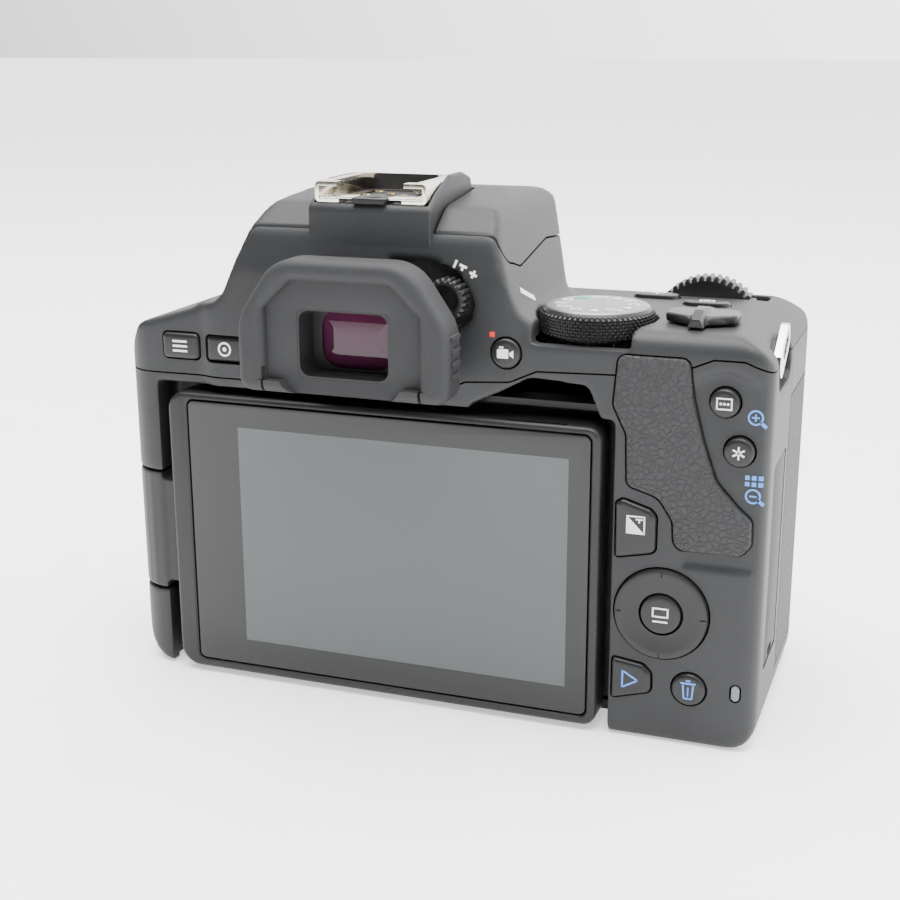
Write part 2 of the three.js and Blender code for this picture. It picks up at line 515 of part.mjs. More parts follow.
// ---------------------------------------------------------------- lens mount
function mountRingShape() {
  const ring = new THREE.Shape().absarc(0, 0, RING_RADIUS, 0, 2 * Math.PI, false);
  const steps = 36;
  const points = [];
  for (let i = 0; i < steps; i++) {
    const angle = (-2 * Math.PI * i) / steps;
    const insideTab = (i % 12) < 4.5;
    const radius = insideTab ? THROAT_RADIUS - 1.8 : THROAT_RADIUS;
    points.push(new THREE.Vector2(radius * Math.cos(angle), radius * Math.sin(angle)));
  }
  ring.holes.push(new THREE.Path(points));
  return ring;
}
const lensMountRing = cut(
  join(
    extrude(mountRingShape(), 'y', BOSS_FRONT + GAP, FLANGE_FRONT).translate([OPTIC_X, 0, OPTIC_Z]),
    cut(rod('y', 28.9, 33.4, BOSS_FRONT + 0.6, OPTIC_X, OPTIC_Z, 36),
      rod('y', THROAT_RADIUS, 30, 40, OPTIC_X, OPTIC_Z, 36))),
  lockPinHole);
const pinPitch = 2.4;
const lensContacts = join(
  block(OPTIC_X - 10.5, OPTIC_X + 10.5, 33.4, 35.2, 14.4, 17.4),
  ...[-4, -3, -2, -1, 0, 1, 2, 3, 4].map((n) => rod('y', 0.7, 34.8, 35.9, OPTIC_X + n * pinPitch, 15.9, 10)));
const lensReleaseButton = rod('y', RELEASE.radius, 24.5, 31.4, RELEASE.x, RELEASE.z, 28, RELEASE.radius - 0.5);
const lensLockPin = rod('y', 1.4, 31.5, LOCK_PIN_TIP, lockPinPlace.x, lockPinPlace.z, 16);

// ---------------------------------------------------------------- screen
const screenArm = join(
  common(
    join(
      rod('z', 4.1, ARM.bottom, ARM.top, SWING_AXIS.x, SWING_AXIS.y, 24),
      block(SWING_AXIS.x, ARM.right, -30, SWING_AXIS.y + 0.5, ARM.bottom, ARM.top),
      block(-62, SWING_AXIS.x + 0.1, -30, SWING_AXIS.y, ARM.bottom, ARM.top)),
    outerForm),
  block(ARM.right - 0.5, SCREEN.left - 0.4, -18.9, -14.2, ARM.bottom + 1.5, ARM.top - 1.5),
  rod('x', 1.3, ARM.right, SCREEN.left + 3, TILT_AXIS.y, TILT_AXIS.z, 16));
const screenHousing = cut(
  prism([[SCREEN.left, SCREEN.bottom, 4], [SCREEN.right, SCREEN.bottom, 2.5],
    [SCREEN.right, SCREEN.top, 2.5], [SCREEN.left, SCREEN.top, 3.5]], 'y', SCREEN.rear, SCREEN.back, 0, 0.7),
  block(GLASS.left - GAP, GLASS.right + GAP, -30, -18.6, GLASS.bottom - GAP, GLASS.top + GAP),
  rod('x', 1.6, SCREEN.left - 1, SCREEN.left + 3.3, TILT_AXIS.y, TILT_AXIS.z, 16));
const screenGlass = prism(
  rectangle(GLASS.left, GLASS.bottom, GLASS.right, GLASS.top, 1.2), 'y', -20.8, -20.1);
const lcdPanel = block(GLASS.left + 3, GLASS.right - 3, -19.8, -18.9, GLASS.bottom + 2, GLASS.top - 2);

// ---------------------------------------------------------------- knobs and switches
const modeDial = join(
  extrude(toothedShape(MODE_DIAL.radius, MODE_DIAL.radius - 0.5, 30), 'z', MODE_DIAL.bottom, MODE_DIAL.top, 0.3)
    .translate([MODE_DIAL.x, MODE_DIAL.y, 0]),
  rod('z', 3, 66, MODE_DIAL.bottom + 0.5, MODE_DIAL.x, MODE_DIAL.y, 16));
const powerSwitch = join(
  rod('z', 6.2, PLATEAU + GAP, PLATEAU + 1.9, POWER_SWITCH.x, POWER_SWITCH.y, 28),
  prism(rectangle(POWER_SWITCH.x - 1.7, POWER_SWITCH.y - 8.6, POWER_SWITCH.x + 1.7, POWER_SWITCH.y, 1),
    'z', PLATEAU + GAP, PLATEAU + 3),
  rod('z', 2, 69, PLATEAU + 1, POWER_SWITCH.x, POWER_SWITCH.y, 16));
const mainDial = extrude(
  toothedShape(MAIN_DIAL.radius, MAIN_DIAL.radius - 0.55, 26), 'y',
  MAIN_DIAL.y - MAIN_DIAL.width / 2, MAIN_DIAL.y + MAIN_DIAL.width / 2, 0.3)
  .translate([MAIN_DIAL.x, 0, MAIN_DIAL.z]);
const shutterButton = shutterRod(SHUTTER.radius, -3, 2, 28, SHUTTER.radius - 0.6);

const crossKeyPad = cut(
  rod('y', CROSS_KEY.outer, REAR_FACE - 0.9, REAR_FACE + BUTTON_DEPTH, CROSS_KEY.x, CROSS_KEY.z, 36),
  rod('y', CROSS_KEY.inner, -40, 0, CROSS_KEY.x, CROSS_KEY.z, 24));
const setButton = rod('y', CROSS_KEY.inner - 0.35, REAR_FACE - 0.8, REAR_FACE + BUTTON_DEPTH, CROSS_KEY.x,
  CROSS_KEY.z, 24);
const accessLamp = prism(lampOutline, 'y', REAR_FACE - 0.1, REAR_FACE + BUTTON_DEPTH);
const thumbRest = prism(PAD_OUTLINE, 'y', REAR_FACE - 0.5, -19.5);
const timerLamp = rod('y', 1.9, 17.5, 20.3, timerLampPlace.x, timerLampPlace.z, 20);

// ---------------------------------------------------------------- doors, base and strap lugs
const rightDoor = prism([[59.7, -13.2, 0.2], [61.15, -13.2, 0.2], [61.15, 0.2, 0.7], [59.7, 0.2, 0.7]], 'z', 13.3, 49.7);
const leftDoor = prism([[-61.15, -6, 0.2], [-59.7, -6, 0.2], [-59.7, 0.9, 0.7], [-61.15, 0.9, 0.7]], 'z', 28.3, 51.7);
const latchPocket = block(37.7, 42.3, 0.7, 9.8, -1, 1.1);
const batteryDoor = cut(
  common(
    prism(batteryDoorPlan, 'z', 0.1, 1.8),
    prism([[30, 0.1], [57, 0.1, 0.8], [57, 1.8, 0.8], [30, 1.8]], 'y', -20, 40)),
  latchPocket);
const batteryLatch = block(38, 42, 1, 7, 0.15, 0.8);
const tripodSocket = cut(
  join(rod('z', 7.3, 0, 1.8, TRIPOD.x, TRIPOD.y, 32), rod('z', 5.5, 1.5, 7, TRIPOD.x, TRIPOD.y, 24)),
  rod('z', 3.1, -1, 6, TRIPOD.x, TRIPOD.y, 20));
const battery = block(41, 56.4, -6.5, 26, 2.4, 50.5);
const memoryCard = block(37, 39.1, -4, 20, 2.6, 34.6);

function strapLug(height) {
  const ring = cut(
    prism(pill(0, 0, LUG.length, LUG.width), 'x', 59.7, 60.9),
    prism(pill(1.4, 0, 6.2, 2.6), 'x', 50, 70),
  ).rotate([LUG.tilt, 0, 0]).translate([0, LUG.y, height]);
  return join(ring, lugPost(height, 1.5));
}

const rearButtons = REAR_BUTTONS.map(({ name, corners, face }) => ({
  name,
  shape: prism(corners, 'y', face - BUTTON_PROUD, face + BUTTON_DEPTH, 0, 0.25),
}));
const topButtons = TOP_BUTTONS.map(({ name, corners }) => ({
  name,
  shape: prism(corners, 'z', PLATEAU - BUTTON_DEPTH, PLATEAU + BUTTON_PROUD, 0, 0.25),
}));

// ---------------------------------------------------------------- finishes and assembly
const FINISHES = {
  shell: { color: 0x37393b, roughness: 0.62, metalness: 0 },
  dark: { color: 0x1c1d1f, roughness: 0.55, metalness: 0 },
  rubber: { color: 0x2a2b2c, roughness: 0.85, metalness: 0 },
  glass: { color: 0x1d2122, roughness: 0.08, metalness: 0 },
  lens: { color: 0x3a2030, roughness: 0.05, metalness: 0 },
  steel: { color: 0xd8d2c4, roughness: 0.3, metalness: 1 },
  mirror: { color: 0xeef1f2, roughness: 0.02, metalness: 1 },
  brass: { color: 0xc9a55a, roughness: 0.3, metalness: 1 },
  board: { color: 0x1f4a35, roughness: 0.6, metalness: 0 },
};

const PIECES = [
  ['front_cover', frontCover, 'shell'],
  ['rear_cover', rearCover, 'shell'],
  ['top_cover', topCover, 'shell'],
  ['bottom_cover', bottomCover, 'dark'],
  ['grip_rubber', gripSkin, 'rubber'],
  ['thumb_rest', thumbRest, 'rubber'],
  ['mirror_box', mirrorBox, 'dark'],
  ['main_mirror', mainMirror, 'mirror'],
  ['sub_mirror', subMirror, 'mirror'],
  ['focusing_screen', focusingScreen, 'glass'],
  ['pentamirror', pentamirror, 'mirror'],
  ['eyepiece_lens', eyepieceLens, 'lens'],
  ['eyepiece_frame', eyepieceFrame, 'dark'],
  ['eyecup', eyecup, 'rubber'],
  ['shutter_frame', shutterFrame, 'dark'],
  ['shutter_curtain', shutterCurtain, 'dark'],
  ['image_sensor', imageSensor, 'glass'],
  ['main_board', mainBoard, 'board'],
  ['battery', battery, 'dark'],
  ['memory_card', memoryCard, 'dark'],
  ['battery_door', batteryDoor, 'dark'],
  ['battery_latch', batteryLatch, 'dark'],
  ['tripod_socket', tripodSocket, 'steel'],
  ['lens_mount_ring', lensMountRing, 'steel'],
  ['lens_contacts', lensContacts, 'brass'],
  ['lens_release_button', lensReleaseButton, 'dark'],
  ['lens_lock_pin', lensLockPin, 'steel'],
  ['mode_dial', modeDial, 'dark'],
  ['power_switch', powerSwitch, 'dark'],
  ['shutter_button', shutterButton, 'dark'],
  ['main_dial', mainDial, 'dark'],
  ['cross_key_pad', crossKeyPad, 'dark'],
  ['set_button', setButton, 'dark'],
  ['access_lamp', accessLamp, 'glass'],
  ['timer_lamp', timerLamp, 'glass'],
  ['strap_lug_right', strapLug(LUG.rightZ), 'steel'],
  ['strap_lug_left', strapLug(LUG.leftZ).mirror([1, 0, 0]), 'steel'],
  ['hot_shoe_rails', shoeRails, 'steel'],
  ['hot_shoe_contacts', shoeBase, 'dark'],
  ['flash_head', flashHead, 'shell'],
  ['flash_lens', flashLens, 'glass'],
  ['flash_hinge_pin', flashPin, 'steel'],
  ['diopter_dial', diopterDial, 'dark'],
  ['terminal_door_right', rightDoor, 'rubber'],
  ['terminal_door_left', leftDoor, 'rubber'],
  ['screen_arm', screenArm, 'shell'],
  ['screen_housing', screenHousing, 'shell'],
  ['screen_glass', screenGlass, 'glass'],
  ['lcd_panel', lcdPanel, 'dark'],
  ...[...rearButtons, ...topButtons].map(({ name, shape }) => [name, shape, 'dark']),
];

function toMesh(name, solid, finish) {
  const { vertProperties, triVerts, numProp } = solid.getMesh();
  const geometry = new THREE.BufferGeometry();
  const positions = new Float32Array((vertProperties.length / numProp) * 3);
  for (let i = 0; i < positions.length / 3; i++) {
    positions.set(vertProperties.subarray(i * numProp, i * numProp + 3), i * 3);
  }
  geometry.setAttribute('position', new THREE.BufferAttribute(positions, 3));
  geometry.setIndex(new THREE.BufferAttribute(Uint32Array.from(triVerts), 1));
  geometry.computeVertexNormals();
  const mesh = new THREE.Mesh(geometry, new THREE.MeshStandardMaterial(FINISHES[finish]));
  mesh.name = name;
  return mesh;
}

// The origin is under the middle of the camera's bounding box, on the surface it stands on.
const camera = new THREE.Group();
camera.rotation.z = Math.PI;
camera.position.y = (EYECUP_REAR + LOCK_PIN_TIP) / 2;
PIECES.forEach(([name, solid, finish]) => camera.add(toMesh(name, solid, finish)));

export default camera;
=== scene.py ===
import math

import bmesh
import bpy
from mathutils import Matrix, Vector


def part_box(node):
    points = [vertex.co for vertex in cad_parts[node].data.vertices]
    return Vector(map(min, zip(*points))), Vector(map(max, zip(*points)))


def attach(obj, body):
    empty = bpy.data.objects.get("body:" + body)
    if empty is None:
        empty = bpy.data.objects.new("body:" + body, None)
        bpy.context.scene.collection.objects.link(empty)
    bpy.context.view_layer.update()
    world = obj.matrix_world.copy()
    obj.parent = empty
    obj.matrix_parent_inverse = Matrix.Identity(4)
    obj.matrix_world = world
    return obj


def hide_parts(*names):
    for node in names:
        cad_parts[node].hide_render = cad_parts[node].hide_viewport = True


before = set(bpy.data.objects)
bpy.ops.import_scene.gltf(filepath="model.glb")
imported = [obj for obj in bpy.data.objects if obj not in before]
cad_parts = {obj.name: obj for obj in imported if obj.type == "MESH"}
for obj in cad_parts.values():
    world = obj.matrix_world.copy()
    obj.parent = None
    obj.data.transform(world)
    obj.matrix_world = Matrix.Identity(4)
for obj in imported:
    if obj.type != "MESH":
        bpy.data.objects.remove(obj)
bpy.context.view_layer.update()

# ---------------------------------------------------------------- working frame
# Pieces are shaped in millimetres as seen from behind: X right, Y towards the lens, Z up from the base.
# The row frame is the same frame turned half a turn about Z.
EYECUP_REAR = -33
SHIFT_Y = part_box("eyecup")[1].y * 1000 + EYECUP_REAR
TO_ROW = Matrix.Translation((0, SHIFT_Y / 1000, 0)) @ Matrix.Rotation(math.pi, 4, "Z") @ Matrix.Scale(0.001, 4)


def span(node):
    """(x0, x1, y0, y1, z0, z1) of a CAD node in the working frame."""
    low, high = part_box(node)
    return (-high.x * 1000, -low.x * 1000, SHIFT_Y - high.y * 1000, SHIFT_Y - low.y * 1000,
            low.z * 1000, high.z * 1000)


def centre(node):
    x0, x1, y0, y1, z0, z1 = span(node)
    return (x0 + x1) / 2, (y0 + y1) / 2, (z0 + z1) / 2


# ---------------------------------------------------------------- meshes
def new_object(bm, name="part"):
    bmesh.ops.recalc_face_normals(bm, faces=bm.faces)
    mesh = bpy.data.meshes.new(name)
    bm.to_mesh(mesh)
    bm.free()
    obj = bpy.data.objects.new(name, mesh)
    bpy.context.scene.collection.objects.link(obj)
    return obj


def discard(obj):
    mesh = obj.data
    bpy.data.objects.remove(obj)
    bpy.data.meshes.remove(mesh)


def bake(obj):
    graph = bpy.context.evaluated_depsgraph_get()
    mesh = bpy.data.meshes.new_from_object(obj.evaluated_get(graph))
    old = obj.data
    obj.modifiers.clear()
    obj.data = mesh
    bpy.data.meshes.remove(old)
    return obj


def copy(obj):
    twin = bpy.data.objects.new(obj.name, obj.data.copy())
    bpy.context.scene.collection.objects.link(twin)
    return twin


def combine(base, operation, tools, keep=()):
    for tool in tools:
        modifier = base.modifiers.new("combine", "BOOLEAN")
        modifier.operation = operation
        modifier.solver = "MANIFOLD"
        modifier.object = tool
    bake(base)
    for tool in tools:
        if tool not in keep:
            discard(tool)
    return base


def cut(base, *tools, keep=()):
    return combine(base, "DIFFERENCE", tools, keep)


def join(base, *tools, keep=()):
    return combine(base, "UNION", tools, keep)


def common(base, *tools, keep=()):
    return combine(base, "INTERSECT", tools, keep)


def remesh(obj, voxel, smoothing=0):
    modifier = obj.modifiers.new("remesh", "REMESH")
    modifier.mode = "VOXEL"
    modifier.voxel_size = voxel
    if smoothing:
        smooth = obj.modifiers.new("smooth", "SMOOTH")
        smooth.factor = 0.5
        smooth.iterations = smoothing
    return bake(obj)


def bevel(obj, width, segments=3, angle=30):
    modifier = obj.modifiers.new("bevel", "BEVEL")
    modifier.width = width
    modifier.segments = segments
    modifier.limit_method = "ANGLE"
    modifier.angle_limit = math.radians(angle)
    return bake(obj)


def moved(obj, x=0.0, y=0.0, z=0.0, turn=None):
    matrix = Matrix.Translation((x, y, z))
    if turn is not None:
        matrix = matrix @ turn
    obj.data.transform(matrix)
    return obj


def inset_corners(corners, inset):
    """Moves each edge of a counter-clockwise outline of (u, v, radius) corners inwards."""
    if not inset:
        return [tuple(c) + (0,) * (3 - len(c)) for c in corners]
    lines = []
    for i, corner in enumerate(corners):
        following = corners[(i + 1) % len(corners)]
        du, dv = following[0] - corner[0], following[1] - corner[1]
        length = math.hypot(du, dv)
        du, dv = du / length, dv / length
        lines.append((corner[0] - dv * inset, corner[1] + du * inset, du, dv))
    made = []
    for i, corner in enumerate(corners):
        u0, v0, du0, dv0 = lines[i - 1]
        u1, v1, du1, dv1 = lines[i]
        radius = corner[2] if len(corner) > 2 else 0
        cross = du0 * dv1 - dv0 * du1
        if abs(cross) < 1e-6:
            made.append((u1, v1, 0))
            continue
        along = ((u1 - u0) * dv1 - (v1 - v0) * du1) / cross
        if radius:
            radius = max(radius - inset, 0.02) if cross > 0 else radius + inset
        made.append((u0 + du0 * along, v0 + dv0 * along, radius))
    return made


def rounded(corners, arc=8):
    """Points of an outline whose corners that have a radius are tangent arcs of a fixed number of points."""
    points = []
    for i, corner in enumerate(corners):
        here = Vector(corner[:2])
        radius = corner[2] if len(corner) > 2 else 0
        if not radius:
            points.append(tuple(here))
            continue
        before = (Vector(corners[i - 1][:2]) - here).normalized()
        after = (Vector(corners[(i + 1) % len(corners)][:2]) - here).normalized()
        half = max(math.acos(max(-1, min(1, before.dot(after)))) / 2, 1e-3)
        if half > math.pi / 2 - 0.01:
            points += [tuple(here)]
            continue
        start = here + before * (radius / math.tan(half))
        end = here + after * (radius / math.tan(half))
        middle = here + (before + after).normalized() * (radius / math.sin(half))
        first = (start - middle).to_2d()
        last = (end - middle).to_2d()
        begin = math.atan2(first.y, first.x)
        turn = math.atan2(last.y, last.x) - begin
        turn -= round(turn / (2 * math.pi)) * 2 * math.pi
        for step in range(arc + 1):
            angle = begin + turn * step / arc
            points.append((middle.x + radius * math.cos(angle), middle.y + radius * math.sin(angle)))
    return points


def on_axis(axis, u, v, w):
    return {"x": (w, u, v), "y": (u, w, v), "z": (u, v, w)}[axis]


def skin(rings):
    """A closed solid through rings of equal length; the first and last are capped."""
    bm = bmesh.new()
    made = [[bm.verts.new(p) for p in ring] for ring in rings]
    count = len(rings[0])
    bm.faces.new(made[0])
    bm.faces.new(list(reversed(made[-1])))
    for low, high in zip(made, made[1:]):
        for i in range(count):
            j = (i + 1) % count
            bm.faces.new((low[i], low[j], high[j], high[i]))
    return new_object(bm)


def loft(corners, axis, levels, arc=8):
    """Stacks an outline along an axis; each level is (position, inset of the outline)."""
    return skin([[on_axis(axis, u, v, w) for u, v in rounded(inset_corners(corners, inset), arc)]
                 for w, inset in levels])


def prism(corners, axis, low, high, inset=0.0, arc=8):
    return loft(corners, axis, [(low, inset), (high, inset)], arc)


def plate(corners, axis, low, high, edge, steps=3, both=False, arc=8):
    """A prism with its edge at low rounded (and at high, if both)."""
    turns = [math.pi / 2 * i / steps for i in range(steps + 1)]
    levels = [(low + edge * (1 - math.sin(t)), edge * (1 - math.cos(t))) for t in reversed(turns)]
    if both:
        levels += [(high - edge * (1 - math.sin(t)), edge * (1 - math.cos(t))) for t in turns]
    else:
        levels.append((high, 0))
    return loft(corners, axis, levels, arc)


def block(x0, x1, y0, y1, z0, z1):
    return prism([(x0, y0), (x1, y0), (x1, y1), (x0, y1)], "z", z0, z1)


def rectangle(left, bottom, right, top, radius=0):
    return [(left, bottom, radius), (right, bottom, radius), (right, top, radius), (left, top, radius)]


def pill(u, v, width, height):
    radius = min(width, height) / 2 - 0.001
    return rectangle(u - width / 2, v - height / 2, u + width / 2, v + height / 2, radius)


def circle(axis, u, v, radius, w, count):
    return [on_axis(axis, u + radius * math.cos(2 * math.pi * i / count),
                    v + radius * math.sin(2 * math.pi * i / count), w) for i in range(count)]


def turned(axis, u, v, profile, segments=64):
    """A solid of revolution about a line along the axis; profile is [(radius, position), ...]."""
    return skin([circle(axis, u, v, radius, w, segments) for radius, w in profile])


def rod(axis, radius, low, high, u, v, segments=48):
    return turned(axis, u, v, [(radius, low), (radius, high)], segments)


def toothed(axis, u, v, radius, depth, teeth, levels):
    """A round knob whose side has straight teeth; levels are (position, inset)."""
    pattern = [-depth, -0.25 * depth, 0.0, 0.0, -0.25 * depth, -depth]
    rings = []
    for w, inset in levels:
        ring = []
        for i in range(teeth * len(pattern)):
            angle = 2 * math.pi * i / (teeth * len(pattern))
            r = radius + pattern[i % len(pattern)] * (1 if inset < depth else 0) - inset
            ring.append(on_axis(axis, u + r * math.cos(angle), v + r * math.sin(angle), w))
        rings.append(ring)
    return skin(rings)


def knurled(axis, u, v, radius, low, high, count, depth, rows, edge):
    """A round knob with a diamond knurl on its side, and a chamfer at both ends."""
    around, steps = count * 4, rows * 6
    rings = [circle(axis, u, v, radius - edge - depth, low, around)]
    for j in range(steps + 1):
        share = j / steps
        ring = []
        for i in range(around):
            a, b = i / 4 + share * rows, i / 4 - share * rows
            pyramid = 1 - max(abs(2 * (a % 1) - 1), abs(2 * (b % 1) - 1))
            ends = min(1.0, min(share, 1 - share) * 8)
            r = radius - depth + depth * min(pyramid * 1.6, 1) * ends
            angle = 2 * math.pi * i / around
            ring.append(on_axis(axis, u + r * math.cos(angle), v + r * math.sin(angle),
                                low + edge + (high - low - 2 * edge) * share))
        rings.append(ring)
    rings.append(circle(axis, u, v, radius - edge - depth, high, around))
    return skin(rings)


def shade(obj, angle=32):
    obj.data.shade_smooth()
    obj.data.set_sharp_from_angle(angle=math.radians(angle))
    return obj


def finish(obj, name, body, material, replaces=(), angle=32):
    obj.name = name
    obj.data.name = name
    obj.data.transform(TO_ROW)
    obj.data.materials.clear()
    obj.data.materials.append(material)
    shade(obj, angle)
    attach(obj, body)
    if replaces:
        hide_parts(*replaces)
    return obj


# ---------------------------------------------------------------- materials
def node_tree(name):
    material = bpy.data.materials.new(name)
    material.use_nodes = True
    tree = material.node_tree
    tree.nodes.clear()
    output = tree.nodes.new("ShaderNodeOutputMaterial")
    shader = tree.nodes.new("ShaderNodeBsdfPrincipled")
    tree.links.new(shader.outputs["BSDF"], output.inputs["Surface"])
    where = tree.nodes.new("ShaderNodeTexCoord").outputs["Object"]
    return material, tree, shader, where


def noise(tree, where, scale, detail=3.0, stretch=None):
    if stretch:
        mapping = tree.nodes.new("ShaderNodeMapping")
        mapping.inputs["Scale"].default_value = stretch
        tree.links.new(where, mapping.inputs["Vector"])
        where = mapping.outputs["Vector"]
    node = tree.nodes.new("ShaderNodeTexNoise")
    node.inputs["Scale"].default_value = scale
    node.inputs["Detail"].default_value = detail
    tree.links.new(where, node.inputs["Vector"])
    return node.outputs["Fac"]


def ramp(tree, value, stops):
    node = tree.nodes.new("ShaderNodeValToRGB")
    node.color_ramp.elements[0].position = stops[0][0]
    node.color_ramp.elements[0].color = (*stops[0][1], 1)
    node.color_ramp.elements[1].position = stops[-1][0]
    node.color_ramp.elements[1].color = (*stops[-1][1], 1)
    for position, color in stops[1:-1]:
        node.color_ramp.elements.new(position).color = (*color, 1)
    tree.links.new(value, node.inputs["Fac"])
    return node.outputs["Color"]


def remap(tree, value, low, high):
    node = tree.nodes.new("ShaderNodeMapRange")
    node.inputs["From Min"].default_value = 0.3
    node.inputs["From Max"].default_value = 0.7
    node.inputs["To Min"].default_value = low
    node.inputs["To Max"].default_value = high
    tree.links.new(value, node.inputs["Value"])
    return node.outputs["Result"]


def bump(tree, height, distance, strength=1.0, under=None):
    node = tree.nodes.new("ShaderNodeBump")
    node.inputs["Distance"].default_value = distance
    node.inputs["Strength"].default_value = strength
    tree.links.new(height, node.inputs["Height"])
    if under:
        tree.links.new(under, node.inputs["Normal"])
    return node.outputs["Normal"]


def plain(name, color, roughness, grain=2600, height=2e-5, spread=0.12, metallic=0.0, coat=0.0, stretch=None,
          specular=0.3):
    """A finish with a slow change of tone, a fine grain and uneven gloss."""
    material, tree, shader, where = node_tree(name)
    tone = noise(tree, where, 55, 4)
    dark = tuple(c * (1 - spread) for c in color)
    light = tuple(c * (1 + spread) for c in color)
    tree.links.new(ramp(tree, tone, [(0.3, dark), (0.7, light)]), shader.inputs["Base Color"])
    fine = noise(tree, where, grain, 3, stretch)
    tree.links.new(remap(tree, fine, roughness * 0.9, min(1, roughness * 1.1)), shader.inputs["Roughness"])
    tree.links.new(bump(tree, fine, height), shader.inputs["Normal"])
    shader.inputs["Metallic"].default_value = metallic
    shader.inputs["Coat Weight"].default_value = coat
    shader.inputs["Coat Roughness"].default_value = 0.1
    shader.inputs["Specular IOR Level"].default_value = specular
    return material


def leather(name, color, roughness, cell=900, height=1.2e-4):
    """Rubber skin with a pebbled leather grain."""
    material, tree, shader, where = node_tree(name)
    warp = tree.nodes.new("ShaderNodeTexNoise")
    warp.inputs["Scale"].default_value = 500
    tree.links.new(where, warp.inputs["Vector"])
    blend = tree.nodes.new("ShaderNodeVectorMath")
    blend.operation = "MULTIPLY_ADD"
    blend.inputs[1].default_value = (0.0011,) * 3
    tree.links.new(warp.outputs["Color"], blend.inputs[0])
    tree.links.new(where, blend.inputs[2])
    cells = tree.nodes.new("ShaderNodeTexVoronoi")
    cells.feature = "DISTANCE_TO_EDGE"
    cells.inputs["Scale"].default_value = cell
    tree.links.new(blend.outputs["Vector"], cells.inputs["Vector"])
    pebble = ramp(tree, cells.outputs["Distance"], [(0.0, (0, 0, 0)), (0.22, (1, 1, 1))])
    fine = noise(tree, where, 3500, 3)
    coarse = bump(tree, pebble, height)
    tree.links.new(bump(tree, fine, 1.5e-5, under=coarse), shader.inputs["Normal"])
    dark = tuple(c * 0.7 for c in color)
    tree.links.new(ramp(tree, pebble, [(0.0, dark), (0.6, color)]), shader.inputs["Base Color"])
    tree.links.new(remap(tree, fine, roughness * 0.9, min(1, roughness * 1.1)), shader.inputs["Roughness"])
    shader.inputs["Specular IOR Level"].default_value = 0.3
    return material


def glass(name, tint, rim, roughness=0.03, transmission=0.0):
    """Coated glass whose base colour changes tint with the angle it is seen at: a painted reflection, lighter
    towards grazing angles.
    """
    material, tree, shader, where = node_tree(name)
    # The base colour goes from tint face-on to the lighter rim colour at grazing angles: painted reflection.
    facing = tree.nodes.new("ShaderNodeLayerWeight")
    facing.inputs["Blend"].default_value = 0.35
    smear = noise(tree, where, 90, 2)
    painted_reflection_colour = ramp(tree, facing.outputs["Facing"], [(0.0, tint), (1.0, rim)])
    tree.links.new(painted_reflection_colour, shader.inputs["Base Color"])
    tree.links.new(remap(tree, smear, roughness * 0.7, roughness * 1.5), shader.inputs["Roughness"])
    shader.inputs["Transmission Weight"].default_value = transmission
    shader.inputs["Coat Weight"].default_value = 0.12
    shader.inputs["Specular IOR Level"].default_value = 0.3
    shader.inputs["Coat Roughness"].default_value = 0.02
    return material


SHELL = plain("shell_plastic", (0.0205, 0.0212, 0.0224), 0.5, grain=3200, height=2.2e-5)
SHELL_DARK = plain("dark_plastic", (0.014, 0.0142, 0.015), 0.45)
CONTROL = plain("control_plastic", (0.012, 0.0122, 0.013), 0.36, height=1e-5)
BEZEL = plain("screen_bezel_plastic", (0.0125, 0.013, 0.0138), 0.42, height=1.4e-5)
RUBBER = plain("soft_rubber", (0.0225, 0.023, 0.0243), 0.66, grain=4000, height=1.2e-5)
DOOR = plain("door_rubber", (0.02, 0.0205, 0.0217), 0.62, grain=3500, height=1.5e-5)
PAD = leather("pad_leather", (0.028, 0.0285, 0.03), 0.6)
GRIP = leather("grip_leather", (0.03, 0.0305, 0.032), 0.6, cell=700)
SHOE_STEEL = plain("shoe_steel", (0.74, 0.69, 0.6), 0.24, grain=900, height=6e-6, metallic=1.0,
                   stretch=(1, 12, 1))
STEEL = plain("turned_steel", (0.6, 0.6, 0.6), 0.28, grain=1500, height=5e-6, metallic=1.0)
CHROME = plain("lug_chrome", (0.75, 0.74, 0.72), 0.16, grain=1200, height=4e-6, metallic=1.0)
GILT = plain("gilt", (0.75, 0.55, 0.25), 0.25, grain=1500, height=4e-6, metallic=1.0)
SILVERED = plain("silvered_glass", (0.88, 0.89, 0.9), 0.04, grain=500, height=1e-6, metallic=1.0, spread=0.03)
MATTE_BLACK = plain("matte_black", (0.007, 0.007, 0.0072), 0.75)
BOARD = plain("solder_mask", (0.012, 0.07, 0.035), 0.4, grain=700, height=3e-5, spread=0.3)
SATIN_TOP = plain("dial_top_metal", (0.20, 0.205, 0.21), 0.34, grain=2500, height=1e-5, metallic=0.7)
WHITE = plain("white_marking", (0.72, 0.72, 0.72), 0.5, height=4e-6, spread=0.05)
BLUE = plain("blue_marking", (0.09, 0.25, 0.66), 0.5, height=4e-6, spread=0.08)
TEAL = plain("teal_marking", (0.05, 0.45, 0.36), 0.5, height=4e-6, spread=0.08)
RED = plain("red_marking", (0.62, 0.03, 0.02), 0.4, height=4e-6, spread=0.08)
LAMP = plain("lamp_lens", (0.12, 0.13, 0.14), 0.25, height=6e-6, coat=0.5)
CLEAR = plain("frosted_plastic", (0.75, 0.77, 0.78), 0.3, grain=1200, height=3e-5, spread=0.04)
COVER_GLASS = glass("cover_glass", (0.010, 0.0105, 0.011), (0.02, 0.021, 0.021))
DISPLAY = glass("display_cell", (0.06, 0.069, 0.069), (0.08, 0.092, 0.092))
COATED = glass("coated_lens", (0.055, 0.010, 0.028), (0.10, 0.03, 0.10))
FILTER = glass("sensor_filter", (0.03, 0.06, 0.055), (0.1, 0.05, 0.12))

